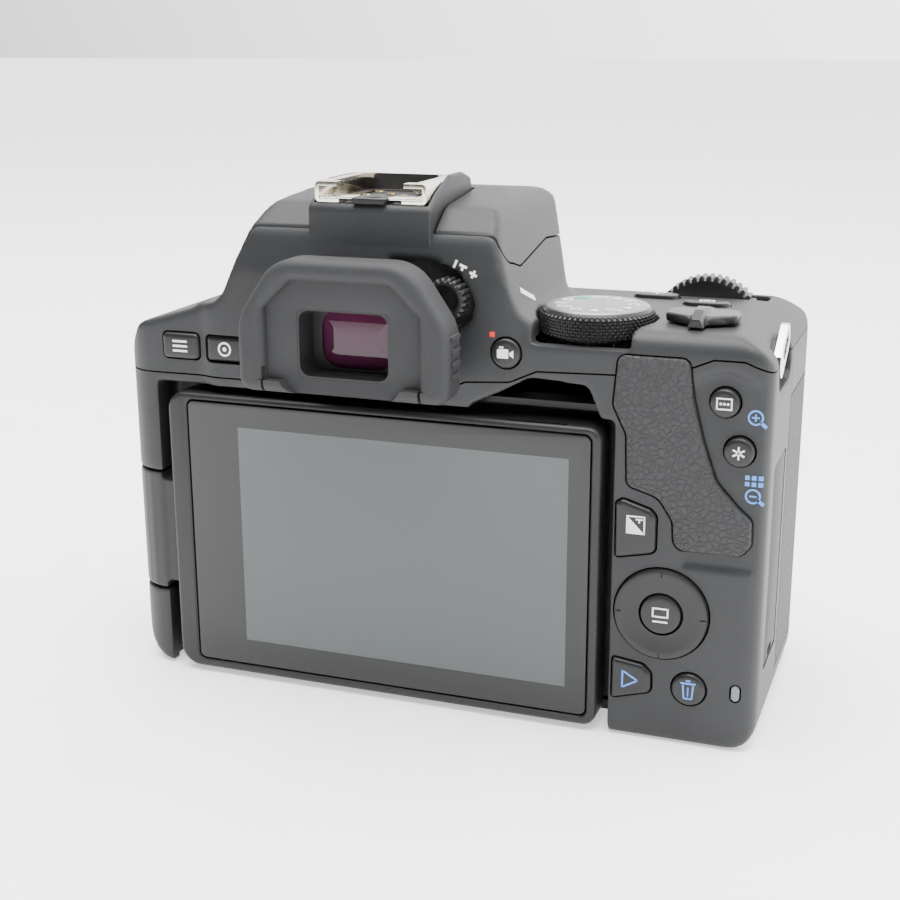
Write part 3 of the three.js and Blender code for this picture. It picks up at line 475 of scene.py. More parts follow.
CARRIED_OVER = {
    "bottom_cover": SHELL_DARK, "mirror_box": MATTE_BLACK, "main_mirror": SILVERED, "sub_mirror": SILVERED,
    "focusing_screen": CLEAR, "pentamirror": SILVERED, "eyepiece_lens": COATED, "eyepiece_frame": SHELL_DARK,
    "shutter_frame": MATTE_BLACK, "shutter_curtain": MATTE_BLACK, "image_sensor": FILTER, "main_board": BOARD,
    "battery": SHELL_DARK, "memory_card": SHELL_DARK, "battery_door": SHELL_DARK, "battery_latch": CONTROL,
    "tripod_socket": STEEL, "lens_contacts": GILT, "lens_lock_pin": STEEL, "timer_lamp": LAMP,
    "flash_lens": CLEAR, "flash_hinge_pin": STEEL, "lcd_panel": DISPLAY,
}

# ---------------------------------------------------------------- outlines, as in the design
OPTIC_X, OPTIC_Z = centre("lens_mount_ring")[0], centre("lens_mount_ring")[2]
EYE_Z = (span("eyepiece_lens")[4] + span("eyepiece_lens")[5]) / 2
HALF_WIDTH, LEFT_REAR_FACE, REAR_FACE, PLATEAU = 61.2, -19.2, -20.3, 73
WALL, GAP = 2.4, 0.3
ELEVATION = [
    (-HALF_WIDTH, 0, 9), (HALF_WIDTH, 0, 5), (HALF_WIDTH, 69.5, 5), (55.5, PLATEAU, 6),
    (-41.5, PLATEAU, 3), (-57.5, 68.3, 3), (-HALF_WIDTH, 62.5, 4),
]
PLAN = [
    (-HALF_WIDTH, LEFT_REAR_FACE, 7), (-30, LEFT_REAR_FACE, 1), (-27, REAR_FACE, 1), (HALF_WIDTH, REAR_FACE, 3.2),
    (HALF_WIDTH, 26, 8), (55, 34.5, 7), (41, 34.5, 7), (33, 20, 4), (-44, 20, 6), (-HALF_WIDTH, 10, 6),
]
SIDE = [
    (REAR_FACE, 0, 1.5), (34.5, 0, 2.5), (34.5, 54, 8), (32, 64.5, 5), (23.5, PLATEAU, 4),
    (REAR_FACE, PLATEAU, 3.5),
]
HUMP_ELEVATION = [
    (-45, 55), (25.6, 55), (25.6, 72.8), (18.2, 72.9, 5), (11.3, 93.3, 7),
    (-30.7, 93.3, 7), (-39.2, 73.2, 5), (-45, 72.8),
]
HUMP_SIDE = [
    (REAR_FACE, 55), (34, 55), (34, 74, 3), (31, 82, 6), (20, 92, 7),
    (6, 93.3, 6), (-12, 91.3, 5), (-18.2, 87, 4), (REAR_FACE, 80, 4),
]
HUMP_PLAN = [
    (-45, REAR_FACE, 5), (22, REAR_FACE, 5), (22, -2, 4), (19, 10, 8), (5, 34, 6),
    (-24.4, 34, 6), (-38.4, 10, 8), (-45, -2, 4),
]
PEDESTAL_SIDE = [
    (-18.8, 80), (4.4, 80), (4.4, 88), (3.7, 91.8, 1.5), (2.2, 95.2, 1.2), (-2, 96.4, 2), (-8, 96.4, 3),
    (-15, 93.6, 4), (-18.8, 91.4, 2),
]
FLASH_SIDE = [
    (-16.9, 84.4), (-14.6, 82.7, 2), (-10.5, 81.5, 3), (8, 84, 4), (20, 83.2), (40, 79.2), (40, 100), (-16.9, 100),
]
SEAM = [
    (70, 110), (-70, 110), (-70, 59.3), (3, 59.8), (8.5, 62.4), (16.6, 63), (21.4, 65.2), (40, 65.8),
    (47, 67.4), (51.4, 69.3), (56.5, 69.3), (61.2, 67.4), (70, 67.4),
]


def main_form(inset=0, arc=10):
    return common(prism(ELEVATION, "y", -60, 60, inset, arc), prism(PLAN, "z", -10, 120, inset, arc),
                  prism(SIDE, "x", -80, 80, inset, arc))


def hump_form(inset=0, arc=10):
    return common(prism(HUMP_ELEVATION, "y", -60, 60, inset, arc), prism(HUMP_PLAN, "z", 40, 120, inset, arc),
                  prism(HUMP_SIDE, "x", -80, 80, inset, arc))


release_x, _, release_z = centre("lens_release_button")
release_radius = (span("lens_release_button")[1] - span("lens_release_button")[0]) / 2
BOSS_RADIUS, BOSS_FRONT = 33.5, 35.3


def mount_form(inset=0, segments=96):
    return join(rod("y", BOSS_RADIUS - inset, 10, BOSS_FRONT - inset, OPTIC_X, OPTIC_Z, segments),
                rod("y", release_radius + 2.2 - inset, 10, 29 - inset, release_x, release_z, segments // 2))


COARSE, FINE = ((0.7, 0.5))
soft = remesh(join(main_form(), hump_form(), mount_form()), COARSE, 8)
flash_piece = copy(soft)

# ---------------------------------------------------------------- hollows that show from outside
PEDESTAL_HALF = 11.5
pedestal = bevel(prism(PEDESTAL_SIDE, "x", OPTIC_X - PEDESTAL_HALF, OPTIC_X + PEDESTAL_HALF), 0.5, 3, 50)
flash_space = cut(prism(FLASH_SIDE, "x", -60, 40, -0.35), copy(pedestal))
screen_x0, screen_x1, screen_y0, screen_y1, screen_z0, screen_z1 = span("screen_housing")
RECESS_LEFT, RECESS_RIGHT, RECESS_TOP, RECESS_FLOOR = -53.4, 35.2, 57.6, -12.3
recess = join(
    block(RECESS_LEFT, RECESS_RIGHT, -60, RECESS_FLOOR, -5, RECESS_TOP),
    prism([(9.4, 50), (33.8, 50), (32.6, 58, 3), (30.4, 63.2, 2), (20.2, 63.9, 3), (14.8, 60.9, 2), (9.4, 58.4)],
          "y", -60, -16))
arm_z0, arm_z1 = span("screen_arm")[4:]
POCKET_FRONT = -8.3
arm_pocket = block(-70, RECESS_LEFT + 1, -60, POCKET_FRONT, arm_z0 - 0.4, arm_z1 + 0.4)

dial_x, dial_y, _ = centre("mode_dial")
dial_radius = (span("mode_dial")[1] - span("mode_dial")[0]) / 2
DIAL_BOTTOM, DIAL_TOP = 69.9, span("mode_dial")[5]
dial_well = join(
    rod("z", dial_radius + 0.5, DIAL_BOTTOM - GAP, 90, dial_x, dial_y, 96),
    block(dial_x - 8.6, dial_x + 8.6, -40, dial_y, DIAL_BOTTOM - GAP, 90))
wheel_x0, wheel_x1, wheel_y0, wheel_y1 = span("main_dial")[:4]
wheel_slot = block(wheel_x0 - 0.6, wheel_x1 + 0.6, wheel_y0 - 0.5, wheel_y1 + 0.5, 55, 90)
RIGHT_LUG_Z, LEFT_LUG_Z, LUG_Y = 68.6, 59, -6.2


def lug_hollow(z, side):
    corners = rectangle(LUG_Y - 7.3, z - 6.1, LUG_Y + 7.2, z + 12, 3)
    post = rod("x", 1.8, 56, 60, LUG_Y - 3.7, z - 2.15, 24)
    hollow = join(prism(corners, "x", 59, 70), post)
    if side == "left":
        hollow.data.transform(Matrix.Scale(-1, 4, (1, 0, 0)))
        hollow.data.flip_normals()
    return hollow


def lug_backing(z, side):
    corners = rectangle(LUG_Y - 8.8, z - 7.6, LUG_Y + 8.7, z + 13.5, 4.5)
    return prism(corners, "x", *((57.4, 70) if side == "right" else (-70, -57.4)))


shoe_slot = block(OPTIC_X - 10.7, OPTIC_X + 10.7, -30, 1.4, 91.9, 110)
body = soft
KEY_AREA_FACE = REAR_FACE + 0.6
key_area = prism([(47.2, 33), (63, 33), (63, 61.2), (60.6, 64.4, 3), (57, 66.7, 5), (53.6, 67.7, 4),
                  (49.5, 66.4, 3), (47.6, 64.6)], "y", -30, KEY_AREA_FACE)
diopter_pocket = prism([(-6, 71.4), (7, 71.4, 1), (9.8, 73, 2), (10.1, 76.6, 3), (7.2, 81.4, 3), (1.4, 83.2, 1),
                        (-6, 83.2)], "y", -30, REAR_FACE + 1.7)
cut(body, key_area, diopter_pocket, recess, arm_pocket, dial_well, wheel_slot, lug_hollow(RIGHT_LUG_Z, "right"),
    lug_hollow(LEFT_LUG_Z, "left"))
remesh(body, FINE, 2)
cut(join(cut(body, flash_space), pedestal), shoe_slot, block(OPTIC_X - 13, OPTIC_X - 10, -30, 1.3, 95.4, 98))

# ---------------------------------------------------------------- inside of the covers
recess_back = block(RECESS_LEFT - 1.5, RECESS_RIGHT + 1.5, -60, RECESS_FLOOR + 1.5, -5, RECESS_TOP + 1.5)
pocket_back = block(-70, RECESS_LEFT + 2.5, -60, POCKET_FRONT + 1.5, arm_z0 - 1.9, arm_z1 + 1.9)
below_flash = cut(block(-80, 80, -60, 60, 30, 110), prism(FLASH_SIDE, "x", -80, 80, -2),
                  block(-80, 80, -60, -9, 80, 110))
cavity = cut(
    join(main_form(WALL, 3), common(hump_form(WALL, 3), below_flash), mount_form(WALL, 32)),
    recess_back, pocket_back, lug_backing(RIGHT_LUG_Z, "right"), lug_backing(LEFT_LUG_Z, "left"))
throat = rod("y", 29.2, 20, 60, OPTIC_X, OPTIC_Z, 96)
pin_y, pin_z = centre("flash_hinge_pin")[1:]
KNUCKLE = 3.5
arm_well = cut(rod("x", KNUCKLE + 0.35, OPTIC_X - 30, OPTIC_X + 30, pin_y, pin_z),
               block(OPTIC_X - PEDESTAL_HALF, OPTIC_X + PEDESTAL_HALF, -60, 60, 60, 100))
pin_bore = rod("x", 1.4, OPTIC_X - 19.3, OPTIC_X + 19.3, pin_y, pin_z, 24)
base_opening = common(prism(PLAN, "z", -10, WALL + 1, WALL, 6),
                      moved(prism(ELEVATION, "y", -60, 60, WALL, 6), z=-WALL - 2.2))
eyepiece_hole = prism(rectangle(OPTIC_X - 8.6, EYE_Z - 6.2, OPTIC_X + 8.6, EYE_Z + 6.2, 2), "y", -40, -10)
contact_well = block(OPTIC_X - 6, OPTIC_X + 6, -14, 1.4, 91, 110)


def door_opening(node, side):
    _, _, y0, y1, z0, z1 = span(node)
    corners = rectangle(y0 - 0.3, z0 - 0.3, y1 + 0.3, z1 + 0.3, 0.5)
    return prism(corners, "x", *((50, 70) if side == "right" else (-70, -50)))


PAD_OUTLINE = [
    (57.3, 36.1, 1.5), (58.9, 38.1, 1.5), (58.8, 42.3, 1.5), (56.4, 44.4, 2), (52.6, 48.5, 6), (50.1, 55.6, 12),
    (48.3, 62.5, 12), (47.5, 69, 1.5), (35.6, 69, 1.5), (34.9, 60.4, 2), (37.3, 55.5, 3), (37.6, 46.6, 1.5),
    (43.1, 45, 4), (45.7, 41, 3), (46, 36, 2),
]
KEY_OUTLINES = {
    "menu_button": rectangle(-51.4, 62.3, -43.9, 67.1, 0.9),
    "info_button": rectangle(-42.1, 62.3, -34.6, 67.1, 0.9),
    "live_view_button": pill(16, 67.9, 5.2, 5.2),
    "af_point_button": pill(53.5, 62.2, 4.9, 4.9),
    "ae_lock_button": pill(56.2, 54.1, 5, 5),
    "exposure_button": [(36, 33.6, 0.5), (42.9, 35.1, 1.2), (42.9, 41.6, 1.5), (41.9, 42.7, 0.8), (37, 44.2, 1),
                        (35.9, 43.4, 0.5)],
    "playback_button": [(36, 7.3, 0.5), (43, 9.3, 1.2), (42.9, 12.9, 1.5), (41.4, 14.3, 1), (36, 15, 0.5)],
    "erase_button": pill(49.6, 10.8, 5.9, 5.9),
}
TOP_KEY_OUTLINES = {"iso_button": pill(34.6, 13.5, 8.4, 3.8), "display_button": pill(44.8, 8.2, 8.4, 3.8)}
cross_x, _, cross_z = centre("cross_key_pad")
cross_radius = (span("cross_key_pad")[1] - span("cross_key_pad")[0]) / 2
SET_RADIUS = 3.9
LAMP_OUTLINE = pill(57.6, 11.1, 1.4, 2.8)
diopter_x, _, diopter_z = centre("diopter_dial")
diopter_radius = (span("diopter_dial")[1] - span("diopter_dial")[0]) / 2
switch_x, switch_y = 47.3, -7.5
SHUTTER_AT, SHUTTER_TILT, SHUTTER_RADIUS = Vector((45.5, 28.6, 68.2)), math.pi / 4, 5
TILTED = Matrix.Translation(SHUTTER_AT) @ Matrix.Rotation(SHUTTER_TILT, 4, "X")


def tilted(obj):
    obj.data.transform(TILTED)
    return obj


lock_x, _, lock_z = centre("lens_lock_pin")
timer_x, _, timer_z = centre("timer_lamp")
rear_holes = [prism(c, "y", -30, -12, -GAP) for c in KEY_OUTLINES.values()]
rear_holes.append(rod("y", cross_radius + GAP, -30, -12, cross_x, cross_z, 72))
rear_holes.append(prism(LAMP_OUTLINE, "y", -30, -12, -GAP))
rear_holes.append(prism(PAD_OUTLINE, "y", -30, -19.2, -GAP))
rear_holes.append(rod("y", 1.6, -30, -12, diopter_x, diopter_z, 24))
top_holes = [prism(c, "z", 65, 80, -GAP) for c in TOP_KEY_OUTLINES.values()]
top_holes.append(rod("z", 3.3, 60, 72, dial_x, dial_y, 32))
top_holes.append(rod("z", 2.3, 60, 80, switch_x, switch_y, 32))
shutter_hole = tilted(rod("y", SHUTTER_RADIUS + GAP, -8, 8, 0, 0))
front_holes = [rod("y", release_radius + GAP, 20, 40, release_x, release_z),
               rod("y", 1.8, 20, 50, lock_x, lock_z, 24), rod("y", 2.2, 10, 40, timer_x, timer_z, 32)]
cut(body, cavity, throat, arm_well, pin_bore, base_opening, eyepiece_hole, contact_well,
    door_opening("terminal_door_right", "right"), door_opening("terminal_door_left", "left"), shutter_hole,
    *rear_holes, *top_holes, *front_holes)

grip_zone = block(32.2, 70, 4, 60, 7, 58.5)
grip_piece = cut(common(copy(flash_piece), grip_zone), main_form(1.2, 8))
grip_seat = cut(block(31.9, 70, 3.7, 60, 6.7, 58.8), main_form(1.45, 8))

above = prism(SEAM, "y", -80, 80)
above_gap = prism(SEAM, "y", -80, 80, -GAP)
COVER_SPLIT = 3
top_cover = common(copy(body), above)
lower = cut(body, above_gap)
rear_cover = common(copy(lower), block(-80, 80, -60, COVER_SPLIT - GAP / 2, -5, 110))
front_cover = cut(common(lower, block(-80, 80, COVER_SPLIT + GAP / 2, 60, -5, 110)), grip_seat)
finish(top_cover, "top_cover_shell", "body", SHELL, ["top_cover"])
finish(rear_cover, "rear_cover_shell", "body", SHELL, ["rear_cover"])
finish(front_cover, "front_cover_shell", "body", SHELL, ["front_cover"])
finish(grip_piece, "grip_skin", "body", GRIP, ["grip_rubber"])

# ---------------------------------------------------------------- flash
passage = join(
    block(OPTIC_X - PEDESTAL_HALF - 0.4, OPTIC_X + PEDESTAL_HALF + 0.4, -60, pin_y, 70, 110),
    rod("x", 19.1, OPTIC_X - PEDESTAL_HALF - 0.4, OPTIC_X + PEDESTAL_HALF + 0.4, pin_y, pin_z, 96))
lens_x0, lens_x1, lens_y0, lens_y1, _, lens_z1 = span("flash_lens")
lens_pocket = block(lens_x0 - GAP, lens_x1 + GAP, lens_y0 - GAP, lens_y1 + GAP, 80, lens_z1 + GAP)
common(flash_piece, join(prism(FLASH_SIDE, "x", -80, 80), rod("x", KNUCKLE, -80, 80, pin_y, pin_z)))
cut(flash_piece, passage, rod("x", 1.4, OPTIC_X - 19.3, OPTIC_X + 19.3, pin_y, pin_z, 24), lens_pocket)
finish(flash_piece, "flash_housing", "flash", SHELL, ["flash_head"])

# ---------------------------------------------------------------- helpers for the smaller pieces
def from_cad(node):
    """A copy of a CAD node in the working frame."""
    twin = copy(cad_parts[node])
    twin.data.transform(TO_ROW.inverted())
    return twin


def merged(objects):
    """Several closed shells as one mesh, without cutting them into each other."""
    bm = bmesh.new()
    for obj in objects:
        bm.from_mesh(obj.data)
        discard(obj)
    return new_object(bm)


def bar(u0, v0, u1, v1, width):
    du, dv = u1 - u0, v1 - v0
    length = math.hypot(du, dv)
    nu, nv = -dv / length * width / 2, du / length * width / 2
    return [(u0 - nu, v0 - nv), (u1 - nu, v1 - nv), (u1 + nu, v1 + nv), (u0 + nu, v0 + nv)]


def band(u, v, inner, outer, begin=0, end=360):
    """Part of a ring as an outline."""
    angles = [math.radians(begin + (end - begin) * i / 16) for i in range(17)]
    return ([(u + outer * math.cos(a), v + outer * math.sin(a)) for a in angles]
            + [(u + inner * math.cos(a), v + inner * math.sin(a)) for a in reversed(angles)])


def ring(u, v, inner, outer):
    return [band(u, v, inner, outer, 0, 179.5), band(u, v, inner, outer, 180, 359.5)]


def disc(u, v, radius):
    return [(u + radius * math.cos(2 * math.pi * i / 24), v + radius * math.sin(2 * math.pi * i / 24))
            for i in range(24)]


def box_outline(u0, v0, u1, v1, width):
    """The four sides of a rectangle as bars."""
    return [bar(u0, v0, u1, v0, width), bar(u0, v1, u1, v1, width),
            bar(u0, v0 - width / 2, u0, v1 + width / 2, width), bar(u1, v0 - width / 2, u1, v1 + width / 2, width)]


def marks(name, shapes, axis, low, high, body, material):
    """Printed marks: thin plates lying on a flat face."""
    obj = merged([prism([tuple(p) for p in shape], axis, low, high) for shape in shapes])
    return finish(obj, name, body, material)


def draped(name, u0, v0, u1, v1, width, axis, target, body, material, slot, lift=0.06):
    """A printed bar that follows the surface of target, seen from the right (x), behind (y) or above (z)."""
    direction = Vector({"x": (-1, 0, 0), "y": (0, 1, 0), "z": (0, 0, -1)}[axis])
    du, dv = u1 - u0, v1 - v0
    length = math.hypot(du, dv)
    nu, nv = -dv / length * width / 2, du / length * width / 2
    inverse = TO_ROW.inverted()
    rows = []
    for i in range(9):
        row = []
        for side in (-1, 1):
            u, v = u0 + du * i / 8 + nu * side, v0 + dv * i / 8 + nv * side
            start = Vector(on_axis(axis, u, v, -60 if axis == "y" else 120))
            hit, place, normal, _ = target.ray_cast(TO_ROW @ start, (TO_ROW.to_3x3() @ direction).normalized())
            place = inverse @ place if hit else start
            normal = (inverse.to_3x3() @ normal).normalized() if hit else -direction
            row.append((place + normal * lift, place - normal * 0.15))
        rows.append((row[0][0], row[1][0], row[1][1], row[0][1]))
    return finish(skin(rows), name, body, material, angle=60)


# ---------------------------------------------------------------- screen
SCREEN_CORNERS = [(screen_x0, screen_z0, 4), (screen_x1, screen_z0, 2.5), (screen_x1, screen_z1, 2.5),
                  (screen_x0, screen_z1, 3.5)]
glass_x0, glass_x1, glass_y0, glass_y1, glass_z0, glass_z1 = span("screen_glass")
housing = plate(SCREEN_CORNERS, "y", screen_y0, screen_y1, 0.9, 5, True)
glass_corners = rectangle(glass_x0, glass_z0, glass_x1, glass_z1, 1.2)
glass_seat = loft(glass_corners, "y", [(-30, -0.55), (screen_y0 + 0.02, -0.55), (screen_y0 + 0.25, -0.3),
                                       (-18.6, -0.3)])
TILT_Y, TILT_Z = -17.5, 28.6
nail_slot = prism(rectangle(16, 54.9, 27, 58), "y", -20.4, -19.6)
cut(housing, glass_seat, rod("x", 1.6, screen_x0 - 1, screen_x0 + 3.3, TILT_Y, TILT_Z, 32), nail_slot)
finish(housing, "screen_bezel", "screen", BEZEL, ["screen_housing"])
DISPLAY_WIDTH, DISPLAY_HEIGHT, DISPLAY_X, DISPLAY_Z = 63.4, 42.3, -4.2, 29.2
display_corners = rectangle(DISPLAY_X - DISPLAY_WIDTH / 2, DISPLAY_Z - DISPLAY_HEIGHT / 2,
                            DISPLAY_X + DISPLAY_WIDTH / 2, DISPLAY_Z + DISPLAY_HEIGHT / 2)
cover_glass = plate(glass_corners, "y", glass_y0, glass_y1, 0.15)
cut(cover_glass, prism(display_corners, "y", -22, glass_y0 + 0.12, -0.01))
finish(cover_glass, "screen_cover_glass", "screen", COVER_GLASS, ["screen_glass"])
finish(prism(display_corners, "y", glass_y0, glass_y0 + 0.11), "display_window", "screen", DISPLAY)
arm_cover = remesh(from_cad("screen_arm"), 0.35, 2)
finish(arm_cover, "screen_arm_cover", "screen_arm", SHELL, ["screen_arm"])

# ---------------------------------------------------------------- eyecup and eyepiece
cup_x0, cup_x1, cup_y0, cup_y1, cup_z0, cup_z1 = span("eyecup")
CUP_OUTLINE = [(cup_x0, cup_z0, 2.5), (cup_x1, cup_z0, 2.5), (cup_x1, 73.5, 9), (2.8, cup_z1, 8),
               (-21.8, cup_z1, 8), (cup_x0, 73.5, 9)]
cup = plate(CUP_OUTLINE, "y", cup_y0, cup_y1, 1.7, 6, True, 12)
CUP_HOLLOW = [(-23.9, 50), (4.6, 50), (4.6, 75.4, 0.6), (-0.6, 80.4, 1.2), (-18.7, 80.4, 1.2), (-23.9, 75.4, 0.6)]
hollow = loft(CUP_HOLLOW, "y", [(-40, -1.3), (cup_y0, -1.3), (cup_y0 + 0.25, -0.75), (cup_y0 + 0.7, -0.25),
                                (cup_y0 + 1.2, 0), (-31.1, 0)])
common(hollow, block(-40, 20, -60, 0, cup_z0 + 2.2, 100))
window = rectangle(OPTIC_X - 8.2, EYE_Z - 5.7, OPTIC_X + 8.2, EYE_Z + 5.7, 0.6)
funnel = loft(window, "y", [(-40, -3.2), (-31.15, -3.2), (-30.65, -0.3), (-20, -0.3)])
frame_x0, frame_x1, frame_y0, _, _, frame_z1 = span("eyepiece_frame")
behind = block(frame_x0 - GAP, frame_x1 + GAP, frame_y0 - 0.06, -20, 50, frame_z1 + GAP)
ribs = [plate(pill(-29.2, z, 3.6, 0.9), "x", cup_x1 - 0.5, cup_x1 + 0.4, 0.2) for z in (65.4, 67.6, 69.8, 72.0)]
notches = [block(x, x + 0.5, -40, -31.4, 50, cup_z0 + 4.6) for x in (-24.4, 4.6)]
cut(join(cup, *ribs), hollow, funnel, behind, *notches)
finish(cup, "eyecup_moulding", "eyecup", RUBBER, ["eyecup"], 40)
mask = cut(prism(window, "y", -25.1, -24.9, 0.06), prism(rectangle(OPTIC_X - 6.4, EYE_Z - 5.2, OPTIC_X + 6.9,
                                                                    EYE_Z + 5.2, 3.2), "y", -30, -20))
finish(mask, "eyepiece_mask", "body", SHELL_DARK)
lens_outline = rectangle(OPTIC_X - 8.9, EYE_Z - 6.4, OPTIC_X + 8.9, EYE_Z + 6.4, 2.4)
eye_lens = loft(lens_outline, "y", [(-21.4, 0), (-23.2, 0), (-23.9, 0.7), (-24.3, 2), (-24.5, 3.6), (-24.6, 5.6)])
finish(eye_lens, "eyepiece_glass", "body", COATED, ["eyepiece_lens"], 60)

dio_y0, dio_y1 = span("diopter_dial")[2:4]
wheel = toothed("y", diopter_x, diopter_z, diopter_radius, 0.5, 20,
                [(REAR_FACE - GAP, 0.05), (dio_y0 + 0.5, 0), (dio_y0 + 0.2, 0.25), (dio_y0, 0.7)])
cut(wheel, turned("y", diopter_x, diopter_z, [(2.6, dio_y0 - 1), (2.5, dio_y0 + 0.15), (2.1, dio_y0 + 0.9)], 48))
join(wheel, rod("y", 1.3, dio_y0 + 0.85, dio_y1, diopter_x, diopter_z, 32))
finish(wheel, "diopter_wheel", "diopter_dial", CONTROL, ["diopter_dial"])

# ---------------------------------------------------------------- accessory shoe
rail_x0, rail_x1, rail_y0, rail_y1, rail_z0, rail_z1 = span("hot_shoe_rails")
LIP_THICKNESS, LIP_REACH = 0.8, 4.2
rails = bevel(prism(rectangle(rail_x0, rail_z0, rail_x1, rail_z1, 0.9), "y", rail_y0, rail_y1), 0.12, 2)
cut(rails, block(rail_x0 + 0.8, rail_x1 - 0.8, -20, 2, rail_z0 + 0.6, rail_z1 - LIP_THICKNESS),
    block(rail_x0 + LIP_REACH, rail_x1 - LIP_REACH, -20, 2, rail_z0 + 0.6, rail_z1 + 1),
    block(rail_x0 + LIP_REACH + 0.4, rail_x1 - LIP_REACH - 0.4, -20, -0.9, rail_z0 - 1, rail_z1 + 1),
    *[block(x0, x1, -15.6, -1, rail_z1 - LIP_THICKNESS - 0.1, rail_z1 + 1)
      for x0, x1 in ((rail_x0 + 2.6, rail_x0 + LIP_REACH + 1), (rail_x1 - LIP_REACH - 1, rail_x1 - 2.6))])
finish(rails, "shoe_rails", "body", SHOE_STEEL, ["hot_shoe_rails"])
springs = merged([skin([[(x, y, z), (x + 1.1, y, z), (x + 1.1, y, z + 0.15), (x, y, z + 0.15)]
                        for y, z in ((-16.5, 92.7), (-13, 93.4), (-9, 94.3), (-5, 93.5), (-2, 92.7))])
                  for x in (rail_x0 + 1.1, rail_x1 - 2.2)]
                 + [plate(rectangle(x0, -17.9, x1, -14.2, 0.2), "z", rail_z0 + 0.62, rail_z0 + 1.1, 0.12,
                          both=True)
                    for x0, x1 in ((rail_x0 + 0.85, OPTIC_X - 3.3), (OPTIC_X + 3.3, rail_x1 - 0.85))])
finish(springs, "shoe_springs", "body", SHOE_STEEL)
tongue = join(plate(rectangle(OPTIC_X - 5.3, -13.7, OPTIC_X + 5.3, -1.2, 0.5), "z", rail_z0 - 0.7,
                    rail_z0 + 0.3, 0.1),
              block(OPTIC_X - 4.6, OPTIC_X + 4.6, -13.0, -1.9, rail_z0, rail_z0 + 0.5),
              *[turned("z", OPTIC_X + dx, y, [(1, rail_z0), (1, rail_z0 + 0.6), (0.6, rail_z0 + 0.8)], 24)
                for dx, y in ((0, -8), (-3.6, -11), (3.6, -11), (-3.6, -5), (3.6, -5))])
finish(tongue, "shoe_contact_block", "body", SHELL_DARK, ["hot_shoe_contacts"])
finish(merged([turned("z", OPTIC_X + dx, y, [(0.75, rail_z0 + 0.7), (0.7, rail_z0 + 0.86)], 24)
               for dx, y in ((0, -8), (-3.6, -11), (3.6, -11), (-3.6, -5), (3.6, -5))]),
       "shoe_contact_pads", "body", GILT)
sill = cut(plate([(OPTIC_X - 3.1, -18.9), (OPTIC_X + 3.1, -18.9), (OPTIC_X + 3.1, -14.3), (OPTIC_X - 3.1, -14.3)],
                 "z", 91.95, 93.0, 0.2, both=True),
           prism([(OPTIC_X - 2.6, -17.6), (OPTIC_X + 0.4, -15.6), (OPTIC_X + 3.2, -15.6), (OPTIC_X + 0.6, -17.6)],
                 "z", 92.7, 95))
finish(sill, "shoe_sill", "body", SHELL_DARK)

# ---------------------------------------------------------------- dials and switches on the top
dial = knurled("z", dial_x, dial_y, dial_radius, DIAL_BOTTOM, DIAL_TOP - 0.3, 62, 0.55, 4, 0.35)
join(dial, rod("z", 3, 66, DIAL_BOTTOM + 0.5, dial_x, dial_y, 32))
finish(dial, "mode_dial_knob", "mode_dial", CONTROL, ["mode_dial"], 20)
dial_cap = turned("z", dial_x, dial_y, [(9.05, DIAL_TOP - 0.6), (9.05, DIAL_TOP - 0.25), (8.8, DIAL_TOP - 0.05),
                                        (8.2, DIAL_TOP), (2.2, DIAL_TOP + 0.02)], 96)
finish(dial_cap, "mode_dial_cap", "mode_dial", SATIN_TOP)
dial_marks, green_marks = [], []
for step in range(12):
    angle = math.radians(step * 30 + 10)
    u, v = dial_x + 6.3 * math.cos(angle), dial_y + 6.3 * math.sin(angle)
    if step in (0, 5, 8):
        shapes = ring(u, v, 0.65, 1.0)
    elif step in (1, 6):
        shapes = [bar(u - 1.1, v - 0.5, u + 1.1, v - 0.5, 0.4), bar(u - 1.1, v + 0.5, u + 1.1, v + 0.5, 0.4)]
    elif step in (2, 9, 11):
        shapes = [[(u - 0.9, v - 0.8), (u + 0.9, v - 0.8), (u, v + 0.9)]]
    else:
        shapes = box_outline(u - 1.1, v - 0.65, u + 1.1, v + 0.65, 0.35)
    (green_marks if step == 4 else dial_marks).extend(shapes)
marks("mode_dial_marks", dial_marks, "z", DIAL_TOP - 0.02, DIAL_TOP + 0.07, "mode_dial", WHITE)
marks("mode_dial_auto_mark", green_marks, "z", DIAL_TOP - 0.02, DIAL_TOP + 0.07, "mode_dial", TEAL)

wing = loft([(switch_x - 6.2, switch_y - 3.4, 1.4), (switch_x - 2, switch_y - 5.6, 2),
             (switch_x + 2, switch_y - 5.6, 2), (switch_x + 6.2, switch_y - 3.4, 1.4),
             (switch_x + 6.2, switch_y + 2.6, 2.4), (switch_x - 6.2, switch_y + 2.6, 2.4)],
            "z", [(PLATEAU + GAP, 0.2), (PLATEAU + 1.5, 0), (PLATEAU + 1.9, 0.35)])
lever = skin([[(switch_x - w, y, low), (switch_x + w, y, low), (switch_x + w * 0.45, y, high),
               (switch_x - w * 0.45, y, high)]
              for y, w, low, high in ((switch_y + 2.8, 2.2, 73.4, 75.0), (switch_y - 2, 2.0, 73.4, 76.0),
                                      (switch_y - 5.4, 1.6, 73.4, 76.0), (switch_y - 8.6, 1.4, 73.4, 74.9))])
switch = join(wing, rod("z", 6.1, PLATEAU + GAP, PLATEAU + 1.2, switch_x, switch_y), lever)
remesh(switch, 0.22, 2)
join(switch, rod("z", 2, 69, PLATEAU + 1, switch_x, switch_y, 32))
finish(switch, "power_lever", "power_switch", CONTROL, ["power_switch"], 45)

